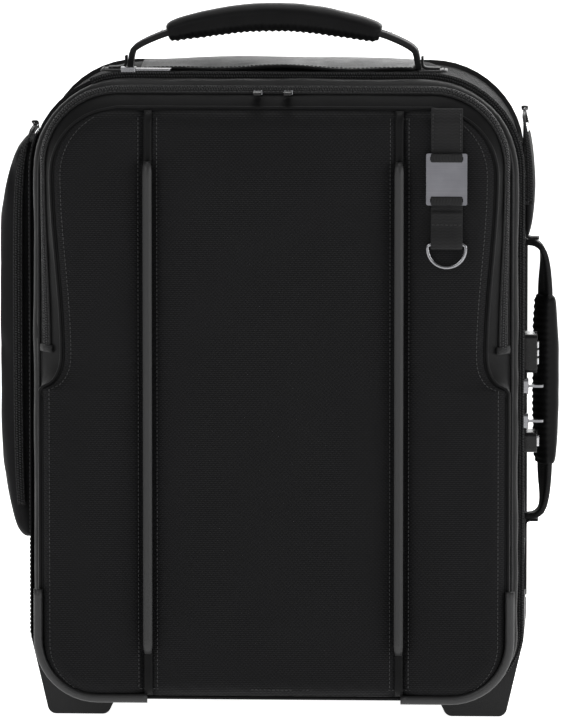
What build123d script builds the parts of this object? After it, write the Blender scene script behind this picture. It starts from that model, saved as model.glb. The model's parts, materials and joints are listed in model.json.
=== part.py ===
"""Wheeled travel backpack, in millimetres.

The origin is on the floor under the middle of the case. +Z is up, the front of the pack faces -Y, and
+X is to the right when the front is seen. Each piece is a solid of its own.
"""
from build123d import *
import os

os.makedirs("parts", exist_ok=True)

# ---------------------------------------------------------------- driving sizes
case_half = 195.0        # half the width of the case
case_low = 22.0          # underside of the case
case_high = 516.0        # top of the case
case_corner = 48.0       # radius of the case's lower corners, seen from the front
case_top_corner = 76.0   # radius of its upper corners
case_front = -50.0       # where the case meets the main zipper
case_back = 96.0         # rear edge of the case walls
wall = 4.0               # fabric-covered board
gap = 0.3                # between neighbouring soft pieces

lid_back = -54.0         # the lid's open edge
lid_front = -80.0        # the lid's outer face, under the front pocket
lid_face = 3.0           # thickness of the lid's face

pocket_half = 185.0      # front pocket, half width
pocket_low = 25.0
pocket_high = 503.0
pocket_corner = 45.0
pocket_top_corner = 60.0
panel_back = -104.0      # rear face of the padded front panel
panel_front = -116.0     # front face of the padded front panel
panel_edge = 5.0         # rounding of the panel's front edge
flap_line = 267.5        # height of the fold that the front pocket opens on
fold_gap = 1.5           # half the gap at that fold

wheel_x = 164.0          # middle of each wheel
wheel_y = 92.3
wheel_radius = 31.0
wheel_width = 22.0
hub_radius = 23.0
hub_half = 10.0          # half the hub's width
hub_boss = 8.5
axle_radius = 4.0
axle_half = 23.5         # half the length of an axle
running = 0.06           # radial clearance of a turning fit

tube_x = 62.0            # middle of each telescopic tube
tube_y = 81.0
tray_floor = 494.0       # underside of the tray that the telescopic grip rests in
tray_rim = 514.0

handle_x = -3.0          # the top handle is a little off the middle
handle_y = -28.0
side_handle_y = 18.0
side_handle_z = 265.0
webbing = 25.0           # width of the webbing
sides = (("left", -1), ("right", 1))


# ---------------------------------------------------------------- shared shapes
def front_plane(y):
    """Upright plane at depth y, facing the front: its x is X and its y is Z."""
    return Plane.XZ.offset(-y)


def side_plane(x):
    """Upright plane at x, facing +X: its x is Y and its y is Z."""
    return Plane.YZ.offset(x)


def save(builder, label):
    """Names a finished piece and writes its STEP file."""
    builder.part.label = label
    export_step(builder.part, f"parts/{label}.step")


def rounded(half_width, low, high, corner, top_corner, inset, mode):
    """A rectangle about the middle line with rounded corners, drawn in from its edge by inset."""
    with BuildSketch(Plane.XY, mode=Mode.PRIVATE) as shape:
        with Locations((0, (low + high) / 2)):
            Rectangle(2 * (half_width - inset), high - low - 2 * inset)
        fillet(vertices().group_by(Axis.Y)[0], corner - inset)
        fillet(vertices().group_by(Axis.Y)[-1], top_corner - inset)
    add(shape.sketch_local, mode=mode)


def case_outline(inset=0.0, mode=Mode.ADD):
    """The case seen from the front."""
    rounded(case_half, case_low, case_high, case_corner, case_top_corner, inset, mode)


def pocket_outline(inset=0.0, mode=Mode.ADD):
    """The front pocket seen from the front."""
    rounded(pocket_half, pocket_low, pocket_high, pocket_corner, pocket_top_corner, inset, mode)


def band(points, corner, width):
    """A strip of one width with round ends, along points joined by arcs."""
    with BuildLine() as path:
        FilletPolyline(*points, radius=corner)
        offset(amount=width / 2, side=Side.BOTH)
    make_face(path.edges())


# ---------------------------------------------------------------- case
tray_half = 84.0
tray_front = 68.0
housing_front = 55.5     # where the wheel housings start
housing_inner = 140.0    # inner side of the wheel housings
housing_top = 74.0

with BuildPart() as case_shell:
    with BuildSketch(front_plane(case_back)):
        case_outline()
        case_outline(wall, Mode.SUBTRACT)
    extrude(amount=case_back - case_front)
    with BuildSketch(Plane.XY.offset(tray_floor)):
        with Locations((0, (tray_front + case_back) / 2)):
            Rectangle(2 * (tray_half + gap), case_back - tray_front + gap)
    extrude(amount=case_high - tray_floor, mode=Mode.SUBTRACT)
    with BuildSketch(front_plane(case_back)):
        housing_x = (housing_inner + case_half) / 2
        with Locations((housing_x, housing_top / 2), (-housing_x, housing_top / 2)):
            Rectangle(case_half - housing_inner, housing_top)
    extrude(amount=case_back - housing_front, mode=Mode.SUBTRACT)
save(case_shell, "case_shell")

lining_wall = 2.0
lining_back = 51.0
lining_setback = 2.0     # of the lining's edge behind the case's edge
board_thick = 3.0
tape_outer = 1.5         # the zipper tape stands this far out of the case
tape_inner = 3.0
tape_thick = 3.4
hinge_x = -150.0         # the zipper stops at the cloth hinge on the left
with BuildPart() as case_lining:
    with BuildSketch(front_plane(lining_back)):
        case_outline(wall + gap)
    extrude(amount=lining_back - case_front - lining_setback)
    with BuildSketch(front_plane(lining_back - lining_wall)):
        case_outline(wall + gap + lining_wall)
    extrude(amount=lining_back - case_front, mode=Mode.SUBTRACT)
save(case_lining, "case_lining")

with BuildPart() as frame_board:
    with BuildSketch(front_plane(lining_back + board_thick + 0.5)):
        case_outline(wall + lining_wall)
    extrude(amount=board_thick)
save(frame_board, "frame_board")

with BuildPart() as main_zipper:
    with BuildSketch(front_plane(case_front)):
        case_outline(-tape_outer)
        case_outline(tape_inner, Mode.SUBTRACT)
    extrude(amount=tape_thick)
    split(bisect_by=Plane.YZ.offset(hinge_x), keep=Keep.TOP)
save(main_zipper, "main_zipper")

# ---------------------------------------------------------------- corner guards and wheels
guard_front = -47.0
guard_out = 197.5        # outer side of the guard
guard_top = 88.0
guard_bend = 62.0        # below this height the guard slopes inwards
foot_outer = 183.0       # the flat the pack stands on
foot_inner = 136.0
guard_tip = (126.0, 21.0)
guard_round = 7.0
housing_back = 106.0
arch_radius = wheel_radius + 2.8
arch_half = wheel_width / 2 + 2.5

for name, side in sides:
    slope = [(side * guard_out, guard_bend), (side * foot_outer, 0)]
    arch_x = side * wheel_x
    with BuildPart() as corner_guard:
        with BuildSketch(front_plane(housing_front)):
            with BuildLine():
                Polyline((side * guard_out, guard_top), *slope, (side * foot_inner, 0),
                         (side * guard_tip[0], guard_tip[1]), (side * guard_tip[0], guard_bend),
                         (side * 150, guard_top), close=True)
            make_face()
            fillet(vertices().sort_by(Axis.Y)[0:2], guard_round)
            case_outline(-0.1, Mode.SUBTRACT)
        extrude(amount=housing_front - guard_front)
        with BuildSketch(front_plane(housing_back)):
            with BuildLine():
                Polyline((side * housing_inner, 0), (side * housing_inner, housing_top),
                         (side * guard_out, housing_top), *slope, close=True)
            make_face()
            fillet(vertices().sort_by(Axis.Y)[0:2], guard_round)
        extrude(amount=housing_back - housing_front)
        with BuildSketch(side_plane(arch_x - arch_half)):
            with Locations((wheel_y, wheel_radius)):
                Circle(arch_radius)
            with Locations((wheel_y, 0)):
                Rectangle(2 * arch_radius, 2 * wheel_radius)
            with Locations((wheel_y + 20, arch_radius / 2 + wheel_radius / 2)):
                Rectangle(40, arch_radius + wheel_radius)
        extrude(amount=2 * arch_half, mode=Mode.SUBTRACT)
        with BuildSketch(side_plane(arch_x - axle_half - 0.5)):
            with Locations((wheel_y, wheel_radius)):
                Circle(axle_radius)
        extrude(amount=2 * axle_half + 1, mode=Mode.SUBTRACT)
    save(corner_guard, f"corner_guard_{name}")

    with BuildPart() as tyre:
        with BuildSketch(side_plane(arch_x - wheel_width / 2)):
            with Locations((wheel_y, wheel_radius)):
                Circle(wheel_radius)
                Circle(hub_radius, mode=Mode.SUBTRACT)
        extrude(amount=wheel_width)
        fillet(tyre.edges().filter_by(GeomType.CIRCLE).group_by(SortBy.RADIUS)[-1], 3)
    save(tyre, f"tyre_{name}")

    with BuildPart() as hub:
        with BuildSketch(side_plane(arch_x - hub_half)):
            with Locations((wheel_y, wheel_radius)):
                Circle(hub_radius)
                Circle(axle_radius + running, mode=Mode.SUBTRACT)
        extrude(amount=2 * hub_half)
        for face_x, inward in ((arch_x - hub_half, 5), (arch_x + hub_half, -5)):
            with BuildSketch(side_plane(face_x)):
                with Locations((wheel_y, wheel_radius)):
                    Circle(hub_radius - 4)
                    Circle(hub_boss, mode=Mode.SUBTRACT)
            extrude(amount=inward, mode=Mode.SUBTRACT)
        with BuildSketch(side_plane(arch_x - hub_half)):
            with Locations((wheel_y, wheel_radius)):
                with PolarLocations((hub_radius - 4 + hub_boss) / 2, 6):
                    Circle(3.2)
        extrude(amount=2 * hub_half, mode=Mode.SUBTRACT)
    save(hub, f"hub_{name}")

with BuildPart() as axles:
    with BuildSketch(side_plane(-wheel_x - axle_half), side_plane(wheel_x - axle_half)):
        with Locations((wheel_y, wheel_radius)):
            Circle(axle_radius)
    extrude(amount=2 * axle_half)
save(axles, "axles")

# ---------------------------------------------------------------- telescopic handle
outer_tube = (24.0, 16.0)
middle_tube = (20.6, 12.6)
inner_tube = (17.4, 9.4)
tube_wall = 1.2
tube_foot = 60.0         # where the tubes stand in the foot


def rectangular_tube(x, size, low, high):
    """A flat-oval tube standing at x, between two heights."""
    with BuildSketch(Plane.XY.offset(low)) as section:
        with Locations((x, tube_y)):
            RectangleRounded(size[0], size[1], 3)
            RectangleRounded(size[0] - 2 * tube_wall, size[1] - 2 * tube_wall, 1.8, mode=Mode.SUBTRACT)
    extrude(section.sketch, amount=high - low)


for name, side in sides:
    with BuildPart() as trolley_tube:
        rectangular_tube(side * tube_x, outer_tube, tube_foot, tray_floor)
    save(trolley_tube, f"trolley_tube_{name}")

    with BuildPart() as stage_tube:
        rectangular_tube(side * tube_x, middle_tube, tube_foot + 10, tray_floor + 5)
    save(stage_tube, f"stage_tube_{name}")

    with BuildPart() as slim_tube:
        rectangular_tube(side * tube_x, inner_tube, tube_foot + 20, tray_floor + 6)
    save(slim_tube, f"inner_tube_{name}")

foot_height = 14.0
with BuildPart() as trolley_foot:
    with BuildSketch(Plane.XY.offset(tube_foot - foot_height)):
        with Locations((0, tube_y)):
            RectangleRounded(2 * (tube_x + 22), 24, 4)
    extrude(amount=foot_height)
save(trolley_foot, "trolley_foot")

tray_base = 4.0          # thickness of the tray's floor
grip_length = 152.0
grip_depth = 20.0
grip_y = tube_y + 1
tray_play = 3.0          # between the grip and the tray's walls
with BuildPart() as handle_tray:
    with BuildSketch(Plane.XY.offset(tray_floor)):
        with Locations((0, (tray_front + case_back) / 2 + gap)):
            Rectangle(2 * tray_half, case_back - tray_front - gap)
    extrude(amount=tray_rim - tray_floor)
    with BuildSketch(Plane.XY.offset(tray_floor + tray_base)):
        with Locations((0, grip_y)):
            RectangleRounded(grip_length + tray_play, grip_depth + tray_play, 6)
    extrude(amount=tray_rim - tray_floor, mode=Mode.SUBTRACT)
    with BuildSketch(Plane.XY.offset(tray_floor)):
        with Locations((tube_x, tube_y), (-tube_x, tube_y)):
            RectangleRounded(middle_tube[0] + 0.8, middle_tube[1] + 0.8, 3.2)
    extrude(amount=tray_base, mode=Mode.SUBTRACT)
save(handle_tray, "handle_tray")

grip_low = tray_floor + 6
grip_high = 513.5
button_pocket = 505.0    # floor of the button's pocket in the grip
button_low = 508.0
with BuildPart() as trolley_grip:
    with BuildSketch(Plane.XY.offset(grip_low)):
        with Locations((0, grip_y)):
            RectangleRounded(grip_length, grip_depth, 5)
    extrude(amount=grip_high - grip_low)
    fillet(trolley_grip.faces().sort_by(Axis.Z)[-1].edges(), 4)
    with BuildSketch(Plane.XY.offset(button_pocket)):
        with Locations((0, grip_y)):
            RectangleRounded(30, 11, 2)
    extrude(amount=grip_high - button_pocket, mode=Mode.SUBTRACT)
save(trolley_grip, "trolley_grip")

with BuildPart() as trolley_button:
    with BuildSketch(Plane.XY.offset(button_low)):
        with Locations((0, grip_y)):
            RectangleRounded(29, 10, 1.8)
    extrude(amount=7)
save(trolley_button, "trolley_button")

# ---------------------------------------------------------------- back and harness
kick_top = 73.0
kick_thick = 3.2
panel_low = 76.0         # the padded back panel starts above the kick plate
panel_top = 490.0
panel_thick = 4.8
back_face = 101.0        # outer face of the back panel
pad_thick = 10.0
pad_gap = 0.2            # between the back panel, the pads and the straps
shoulder_thick = 9.0
strap_thin = 1.8         # single webbing
shoulder_back = back_face + pad_thick + 2 * pad_gap + shoulder_thick
with BuildPart() as kick_plate:
    with BuildSketch(front_plane(case_back + gap + kick_thick)):
        with Locations((0, kick_top - 24)):
            RectangleRounded(2 * guard_tip[0] + 20, 48, 8)
    extrude(amount=kick_thick)
save(kick_plate, "kick_plate")

with BuildPart() as back_panel:
    with BuildSketch(front_plane(back_face)):
        with Locations((0, (panel_low + panel_top) / 2)):
            RectangleRounded(364, panel_top - panel_low, 50)
    extrude(amount=panel_thick)
save(back_panel, "back_panel")

for name, side in sides:
    with BuildPart() as back_pad:
        with BuildSketch(front_plane(back_face + pad_gap + pad_thick)):
            with Locations((side * 62, 343)):
                RectangleRounded(88, 216, 20)
        extrude(amount=pad_thick)
        fillet(back_pad.faces().sort_by(Axis.Y)[-1].edges(), 4)
    save(back_pad, f"back_pad_{name}")

    with BuildPart() as shoulder_strap:
        with BuildSketch(front_plane(shoulder_back)):
            band([(side * 52, 452), (side * 62, 400), (side * 86, 300), (side * 90, 226)], 120, 54)
        extrude(amount=shoulder_thick)
    save(shoulder_strap, f"shoulder_strap_{name}")

    with BuildPart() as lower_strap:
        with BuildSketch(front_plane(back_face + strap_thin + pad_gap)):
            band([(side * 92, 206), (side * 104, 160), (side * 124, 112)], 60, webbing)
        extrude(amount=strap_thin)
    save(lower_strap, f"lower_strap_{name}")

with BuildPart() as strap_adjusters:
    with BuildSketch(front_plane(back_face + 9)):
        for _, side in sides:
            with Locations((side * 92, 196)):
                RectangleRounded(36, 26, 3)
            with Locations((side * 92, 203), (side * 92, 189)):
                Rectangle(webbing + 2, 4, mode=Mode.SUBTRACT)
    extrude(amount=6)
save(strap_adjusters, "strap_adjusters")

# ---------------------------------------------------------------- lid and front pocket
with BuildPart() as lid_shell:
    with BuildSketch(front_plane(lid_back)):
        case_outline()
        case_outline(wall, Mode.SUBTRACT)
    extrude(amount=lid_back - lid_front)
    with BuildSketch(front_plane(lid_front + lid_face)):
        case_outline()
    extrude(amount=lid_face)
save(lid_shell, "lid_shell")

flap_back = -91.0
for name, rim_back, height, keep in (
    ("front_panel_lower", lid_front - gap, flap_line - fold_gap, Keep.BOTTOM),
    ("front_panel_upper", flap_back, flap_line + fold_gap, Keep.TOP),
):
    with BuildPart() as front_panel:
        with BuildSketch(front_plane(rim_back)):
            pocket_outline()
            pocket_outline(wall, Mode.SUBTRACT)
        extrude(amount=rim_back - panel_back)
        with BuildSketch(front_plane(panel_back)):
            pocket_outline()
        extrude(amount=panel_back - panel_front)
        fillet(front_panel.faces().sort_by(Axis.Y)[0].edges(), panel_edge)
        split(bisect_by=Plane.XY.offset(height), keep=keep)
    save(front_panel, name)

with BuildPart() as pocket_zipper:
    with BuildSketch(front_plane(lid_front - gap)):
        pocket_outline()
        pocket_outline(3, Mode.SUBTRACT)
    extrude(amount=lid_front - flap_back - 1)
    split(bisect_by=Plane.XY.offset(flap_line + 8), keep=Keep.TOP)
save(pocket_zipper, "pocket_zipper")

bar_x = 101.0
bar_width = 7.0
bar_out = 2.4
for name, low, high in (
    ("seam_bars_lower", 60, flap_line - fold_gap),
    ("seam_bars_upper", flap_line + fold_gap, 453),
):
    with BuildPart() as seam_bars:
        with BuildSketch(front_plane(panel_front)):
            with Locations((bar_x, (low + high) / 2), (-bar_x, (low + high) / 2)):
                Rectangle(bar_width, high - low)
        extrude(amount=bar_out)
    save(seam_bars, name)

bumper_out = 3.6
bumper_top = 114.0
bumper_end = 97.0        # the bumpers stop this far from the middle
with BuildPart() as corner_bumpers:
    with BuildSketch(front_plane(panel_back - 1)):
        pocket_outline(-bumper_out)
        pocket_outline(-0.1, Mode.SUBTRACT)
        with Locations((0, (bumper_top + pocket_high + 10) / 2)):
            Rectangle(2 * pocket_half + 20, pocket_high + 10 - bumper_top, mode=Mode.SUBTRACT)
        with Locations((0, pocket_low)):
            Rectangle(2 * bumper_end, 20, mode=Mode.SUBTRACT)
    extrude(amount=7)
save(corner_bumpers, "corner_bumpers")

# ---------------------------------------------------------------- strap with plate and D-ring
strap_x = 137.0
ring_y = -119.8
ring_z = 388.0
with BuildPart() as ring_strap:
    with BuildSketch(front_plane(panel_front - 0.2)):
        with Locations((strap_x, (ring_z + 1.5 + 495) / 2)):
            Rectangle(webbing, 495 - ring_z - 1.5)
    extrude(amount=strap_thin)
    with BuildSketch(side_plane(strap_x - webbing / 2)):
        with Locations((ring_y, ring_z)):
            Circle(3.5)
            Circle(1.9, mode=Mode.SUBTRACT)
    extrude(amount=webbing)
save(ring_strap, "ring_strap")

with BuildPart() as d_ring:
    with BuildSketch(front_plane(ring_y + 1.5)):
        with Locations((strap_x, ring_z - 1)):
            Rectangle(33, 5)
        with Locations((strap_x, ring_z - 3)):
            Circle(16.5)
        with Locations((strap_x, ring_z + 11.5)):
            Rectangle(40, 20, mode=Mode.SUBTRACT)
        with Locations((strap_x, ring_z - 3)):
            Circle(13.5, mode=Mode.SUBTRACT)
        with Locations((strap_x, ring_z)):
            Rectangle(33, 3)
    extrude(amount=3)
    fillet(d_ring.edges().filter_by(Axis.X), 0.9)
save(d_ring, "d_ring")

plate_z = 440.0
with BuildPart() as strap_plate:
    with BuildSketch(front_plane(panel_front - 2.5)):
        with Locations((strap_x, plate_z)):
            RectangleRounded(32.4, 41, 1.5)
        with Locations((strap_x, plate_z + 16.5), (strap_x, plate_z - 16.5)):
            Rectangle(26, 3, mode=Mode.SUBTRACT)
    extrude(amount=2.2)
save(strap_plate, "strap_plate")

# ---------------------------------------------------------------- zipper sliders and pulls
slider_z = pocket_high + 1.2
for name, x in (("left", -13.0), ("right", 11.0)):
    with BuildPart() as pocket_slider:
        with BuildSketch(Plane.XY.offset(slider_z)):
            with Locations((x, -89.5)):
                RectangleRounded(8, 11, 2)
        extrude(amount=3.4)
    save(pocket_slider, f"pocket_slider_{name}")

    with BuildPart() as pocket_pull:
        with BuildSketch(Plane.XY.offset(slider_z + 1)):
            with Locations((x, -104.5)):
                RectangleRounded(6.5, 17, 2)
        extrude(amount=2)
    save(pocket_pull, f"pocket_pull_{name}")

side_x = case_half + 2.2
for name, z in (("upper", 268.0), ("lower", 240.0)):
    with BuildPart() as main_slider:
        with BuildSketch(side_plane(side_x)):
            with Locations((-52, z)):
                RectangleRounded(10, 12, 2)
        extrude(amount=3.8)
        with BuildSketch(Plane.XY.offset(z - 1)):
            with Locations((side_x + 9, -52)):
                RectangleRounded(13, 6.5, 2)
        extrude(amount=2)
    save(main_slider, f"main_slider_{name}")

top_z = case_high + 2.2
with BuildPart() as main_slider_top:
    with BuildSketch(Plane.XY.offset(top_z)):
        with Locations((-118, -52)):
            RectangleRounded(12, 10, 2)
    extrude(amount=3.8)
    with BuildSketch(Plane.XY.offset(top_z + 1)):
        with Locations((-99, -51.5)):
            RectangleRounded(30, 7, 3)
    extrude(amount=1.8)
save(main_slider_top, "main_slider_top")

# ---------------------------------------------------------------- combination lock
lock_y = -29.0
lock_out = 207.5
dial_x = 202.5
with BuildPart() as lock_body:
    with BuildSketch(side_plane(case_half + 0.2)):
        with Locations((lock_y, 292.5)):
            RectangleRounded(28, 31, 3)
        with Locations((lock_y, 221)):
            RectangleRounded(28, 16, 3)
    extrude(amount=lock_out - case_half - 0.2)
    with BuildSketch(side_plane(case_half + 0.2)):
        with Locations((lock_y, 253)):
            Rectangle(24, 60)
    extrude(amount=4)
    with BuildSketch(Plane.XY.offset(281.5)):
        with Locations((dial_x, lock_y)):
            Circle(6.8)
            Circle(1.6, mode=Mode.SUBTRACT)
    extrude(amount=21, mode=Mode.SUBTRACT)
    with BuildSketch(side_plane(203.5)):
        with Locations((lock_y, 221)):
            RectangleRounded(11, 9, 1.5)
    extrude(amount=10, mode=Mode.SUBTRACT)
save(lock_body, "lock_body")

for number in range(3):
    with BuildPart() as lock_dial:
        with BuildSketch(Plane.XY.offset(282.8 + 6.6 * number)):
            with Locations((dial_x, lock_y)):
                Circle(6.3)
                with PolarLocations(6.3, 10):
                    Circle(0.55, mode=Mode.SUBTRACT)
                Circle(1.6 + running, mode=Mode.SUBTRACT)
        extrude(amount=4.8)
    save(lock_dial, f"lock_dial_{number + 1}")

with BuildPart() as lock_button:
    with BuildSketch(side_plane(205.5)):
        with Locations((lock_y, 221)):
            RectangleRounded(10.2, 8.2, 1.2)
    extrude(amount=3.6)
save(lock_button, "lock_button")

# ---------------------------------------------------------------- side pockets
for name, side, low, high, front, back, depth in (
    ("left", -1, 135.0, 466.0, -26.0, 46.0, 29.4),
    ("right", 1, 380.5, 480.0, -30.0, 40.0, 13.0),
):
    near = side * (case_half + 0.6)
    with BuildPart() as pocket_cover:
        with BuildSketch(side_plane(near)):
            with Locations(((front + back) / 2, (low + high) / 2)):
                RectangleRounded(back - front, high - low, 16)
        extrude(amount=side * depth)
        outer_face = pocket_cover.faces().sort_by(Axis.X)[-1 if side > 0 else 0]
        fillet(outer_face.edges(), depth / 3)
        with BuildSketch(side_plane(near)):
            with Locations(((front + back) / 2, (low + high) / 2)):
                RectangleRounded(back - front - 6, high - low - 6, 13)
        extrude(amount=side * (depth - 3), mode=Mode.SUBTRACT)
    save(pocket_cover, f"side_pocket_{name}")

# ---------------------------------------------------------------- carry handles
strap_thick = 4.0
base_radius = 6.0        # the webbing is folded narrow at its ends, and rounded about the pivot
pivot_out = 9.0          # from the case to the pivot
lug_thick = 1.8
grip_ends = slice(2, 5)  # the stretch of a handle's route that the padded grip covers


def handle_width():
    """The webbing's width seen along the handle: narrow and round at the pivot, full further out."""
    full = webbing / 2
    with BuildLine() as path:
        Polyline((-base_radius, 0), (-full, 12), (-full, 60), (full, 60), (full, 12), (base_radius, 0), close=True)
    make_face(path.edges())
    Circle(base_radius)


top_pivot = case_high + pivot_out
top_half = 115.0
top_route = [(-top_half, 0), (-112, 12), (-75, 27), (0, 38), (75, 27), (112, 12), (top_half, 0)]


def top_handle_plane(back):
    """Faces the front, with its origin between the top handle's pivots."""
    return Plane((handle_x, handle_y + back, top_pivot), x_dir=(1, 0, 0), z_dir=(0, -1, 0))


with BuildPart() as top_handle_webbing:
    with BuildSketch(top_handle_plane(webbing / 2)):
        band(top_route, 9, strap_thick)
    extrude(amount=webbing)
    with BuildSketch(Plane((handle_x - 150, handle_y, top_pivot), x_dir=(0, 1, 0), z_dir=(1, 0, 0))):
        handle_width()
    extrude(amount=300, mode=Mode.INTERSECT)
save(top_handle_webbing, "top_handle_webbing")

with BuildPart() as top_handle_grip:
    with BuildSketch(top_handle_plane(15)):
        band(top_route[grip_ends], 200, 23)
    extrude(amount=30)
    with BuildSketch(top_handle_plane(webbing / 2 + 0.2)):
        band(top_route, 9, strap_thick + 0.4)
    extrude(amount=webbing + 0.4, mode=Mode.SUBTRACT)
save(top_handle_grip, "top_handle_grip")

with BuildPart() as top_handle_anchors:
    for side in (-1, 1):
        outside = handle_x + side * (top_half + strap_thick / 2 + gap + lug_thick / 2)
        with BuildSketch(side_plane(outside - lug_thick / 2)):
            with Locations((handle_y, case_high + pivot_out / 2 + 1)):
                Rectangle(2 * base_radius, pivot_out + 1.6)
            with Locations((handle_y, top_pivot)):
                Circle(base_radius)
        extrude(amount=lug_thick)
save(top_handle_anchors, "top_handle_anchors")

side_pivot = case_half + pivot_out
side_half = 111.0
side_route = [(0, -side_half), (8, -103), (9, -70), (11, 0), (9, 70), (8, 103), (0, side_half)]


def side_handle_plane(back):
    """Faces the front, with its origin between the side handle's pivots."""
    return Plane((side_pivot, side_handle_y + back, side_handle_z), x_dir=(1, 0, 0), z_dir=(0, -1, 0))


with BuildPart() as side_handle_webbing:
    with BuildSketch(side_handle_plane(webbing / 2)):
        band(side_route, 5, strap_thick)
    extrude(amount=webbing)
    with BuildSketch(Plane((side_pivot, side_handle_y, side_handle_z - 150), x_dir=(0, -1, 0), z_dir=(0, 0, 1))):
        handle_width()
    extrude(amount=300, mode=Mode.INTERSECT)
save(side_handle_webbing, "side_handle_webbing")

with BuildPart() as side_handle_grip:
    with BuildSketch(side_handle_plane(14.5)):
        band(side_route[grip_ends], 300, 20)
    extrude(amount=29)
    with BuildSketch(side_handle_plane(webbing / 2 + 0.2)):
        band(side_route, 5, strap_thick + 0.4)
    extrude(amount=webbing + 0.4, mode=Mode.SUBTRACT)
save(side_handle_grip, "side_handle_grip")

with BuildPart() as side_handle_anchors:
    for side in (-1, 1):
        outside = side_handle_z + side * (side_half + strap_thick / 2 + gap + lug_thick / 2)
        with BuildSketch(Plane.XY.offset(outside - lug_thick / 2)):
            with Locations((case_half + pivot_out / 2 + 1, side_handle_y)):
                Rectangle(pivot_out + 1.6, 2 * base_radius)
            with Locations((side_pivot, side_handle_y)):
                Circle(base_radius)
        extrude(amount=lug_thick)
save(side_handle_anchors, "side_handle_anchors")
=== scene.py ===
import json
import math

import bpy
from bpy.props import FloatProperty, FloatVectorProperty, PointerProperty
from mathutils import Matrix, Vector, noise


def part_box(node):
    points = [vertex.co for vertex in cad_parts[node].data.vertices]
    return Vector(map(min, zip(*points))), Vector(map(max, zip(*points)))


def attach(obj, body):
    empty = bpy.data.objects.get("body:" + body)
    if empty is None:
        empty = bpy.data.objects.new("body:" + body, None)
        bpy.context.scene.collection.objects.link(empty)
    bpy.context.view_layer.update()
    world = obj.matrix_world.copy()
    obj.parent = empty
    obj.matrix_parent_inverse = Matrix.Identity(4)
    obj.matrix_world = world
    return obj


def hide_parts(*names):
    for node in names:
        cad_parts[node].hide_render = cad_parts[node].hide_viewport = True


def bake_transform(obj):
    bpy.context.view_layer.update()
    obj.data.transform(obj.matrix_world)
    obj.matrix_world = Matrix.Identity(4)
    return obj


bl_info = {
    "name": "Travel Backpack",
    "version": (1, 0, 0),
    "blender": (4, 5, 0),
    "location": "View3D > Sidebar > Backpack",
    "description": "Builds the soft goods, trims and finishes of a wheeled travel backpack",
    "category": "Object",
}

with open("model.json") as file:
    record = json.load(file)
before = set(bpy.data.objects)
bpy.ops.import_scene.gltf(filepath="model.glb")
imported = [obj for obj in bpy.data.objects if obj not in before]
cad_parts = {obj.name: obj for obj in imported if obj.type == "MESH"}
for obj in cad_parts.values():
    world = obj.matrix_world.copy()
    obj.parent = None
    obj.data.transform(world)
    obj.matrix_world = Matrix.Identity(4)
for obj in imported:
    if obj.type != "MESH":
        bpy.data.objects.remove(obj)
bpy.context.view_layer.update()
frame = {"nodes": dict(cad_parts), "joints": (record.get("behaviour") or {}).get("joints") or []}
MM = 0.001               # the modelling functions work in millimetres


# ------------------------------------------------------------------ places, from the frame
def node_box(*names):
    """Lowest and highest corner of some CAD nodes together, in millimetres."""
    boxes = [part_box(name) for name in names]
    low = [min(box[0][axis] for box in boxes) / MM for axis in range(3)]
    high = [max(box[1][axis] for box in boxes) / MM for axis in range(3)]
    return Vector(low), Vector(high)


case_low, case_high = node_box("case_shell")
pocket_low, pocket_high = node_box("front_panel_lower", "front_panel_upper")
CASE = dict(half=case_high.x, low=case_low.z, high=case_high.z, corner=48.0, upper=76.0)
POCKET = dict(half=pocket_high.x, low=pocket_low.z, high=pocket_high.z, corner=45.0, upper=60.0)
LID_BACK = node_box("lid_shell")[1].y
LID_FRONT = node_box("lid_shell")[0].y
FOLD = (node_box("front_panel_lower")[1].z + node_box("front_panel_upper")[0].z) / 2
PANEL_FRONT = pocket_low.y
BAR_X = node_box("seam_bars_upper")[1].x - 5.0
WEDGE_LOW = FOLD + 3.5               # the wedge gussets open above this height
WEDGE_FULL = FOLD + 29.5             # and are widest here
WEDGE_TOP = 440.0                    # above this the gussets keep one width
LID_INSET = 2.5                      # the lid's walls stand this far inside the case's
ZIP_DEPTH = -(case_low.y + LID_BACK) / 2 + 3.5


def front(u, v, out):
    """A point of the front face: u to the right, v up, out towards the viewer."""
    return (u, -out, v)


def back(u, v, out):
    return (u, out, v)


def left(u, v, out):
    return (-out, u, v)


def right(u, v, out):
    return (out, u, v)


def top(u, v, out):
    return (u, v, out)


# ------------------------------------------------------------------ mesh helpers
def deselect():
    bpy.ops.object.select_all(action="DESELECT")


def activate(piece):
    deselect()
    piece.select_set(True)
    bpy.context.view_layer.objects.active = piece


def smoothstep(x):
    x = min(1.0, max(0.0, x))
    return x * x * (3 - 2 * x)


def ripple(x, y, z, scale, seed=0.0):
    """Smooth noise of about -1 to 1, for cloth that is never quite even."""
    return noise.noise(Vector((x / scale + seed, y / scale, z / scale)))


def build(name, points, faces, uvs=None):
    """A mesh object from points in millimetres. uvs holds one list of pairs for each face, in millimetres."""
    mesh = bpy.data.meshes.new(name)
    mesh.from_pydata([Vector(p) * MM for p in points], [], faces)
    if uvs:
        layer = mesh.uv_layers.new(name="cloth")
        flat = [c * MM for face in uvs for pair in face for c in pair]
        layer.data.foreach_set("uv", flat)
    piece = bpy.data.objects.new(name, mesh)
    bpy.context.scene.collection.objects.link(piece)
    activate(piece)
    bpy.ops.object.mode_set(mode="EDIT")
    bpy.ops.mesh.select_all(action="SELECT")
    bpy.ops.mesh.normals_make_consistent(inside=False)
    bpy.ops.object.mode_set(mode="OBJECT")
    bpy.ops.object.shade_smooth()
    return piece


def lengths(points):
    """Distance along a row of points, starting at 0."""
    total = [0.0]
    for a, b in zip(points, points[1:]):
        total.append(total[-1] + (Vector(b) - Vector(a)).length)
    return total


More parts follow.
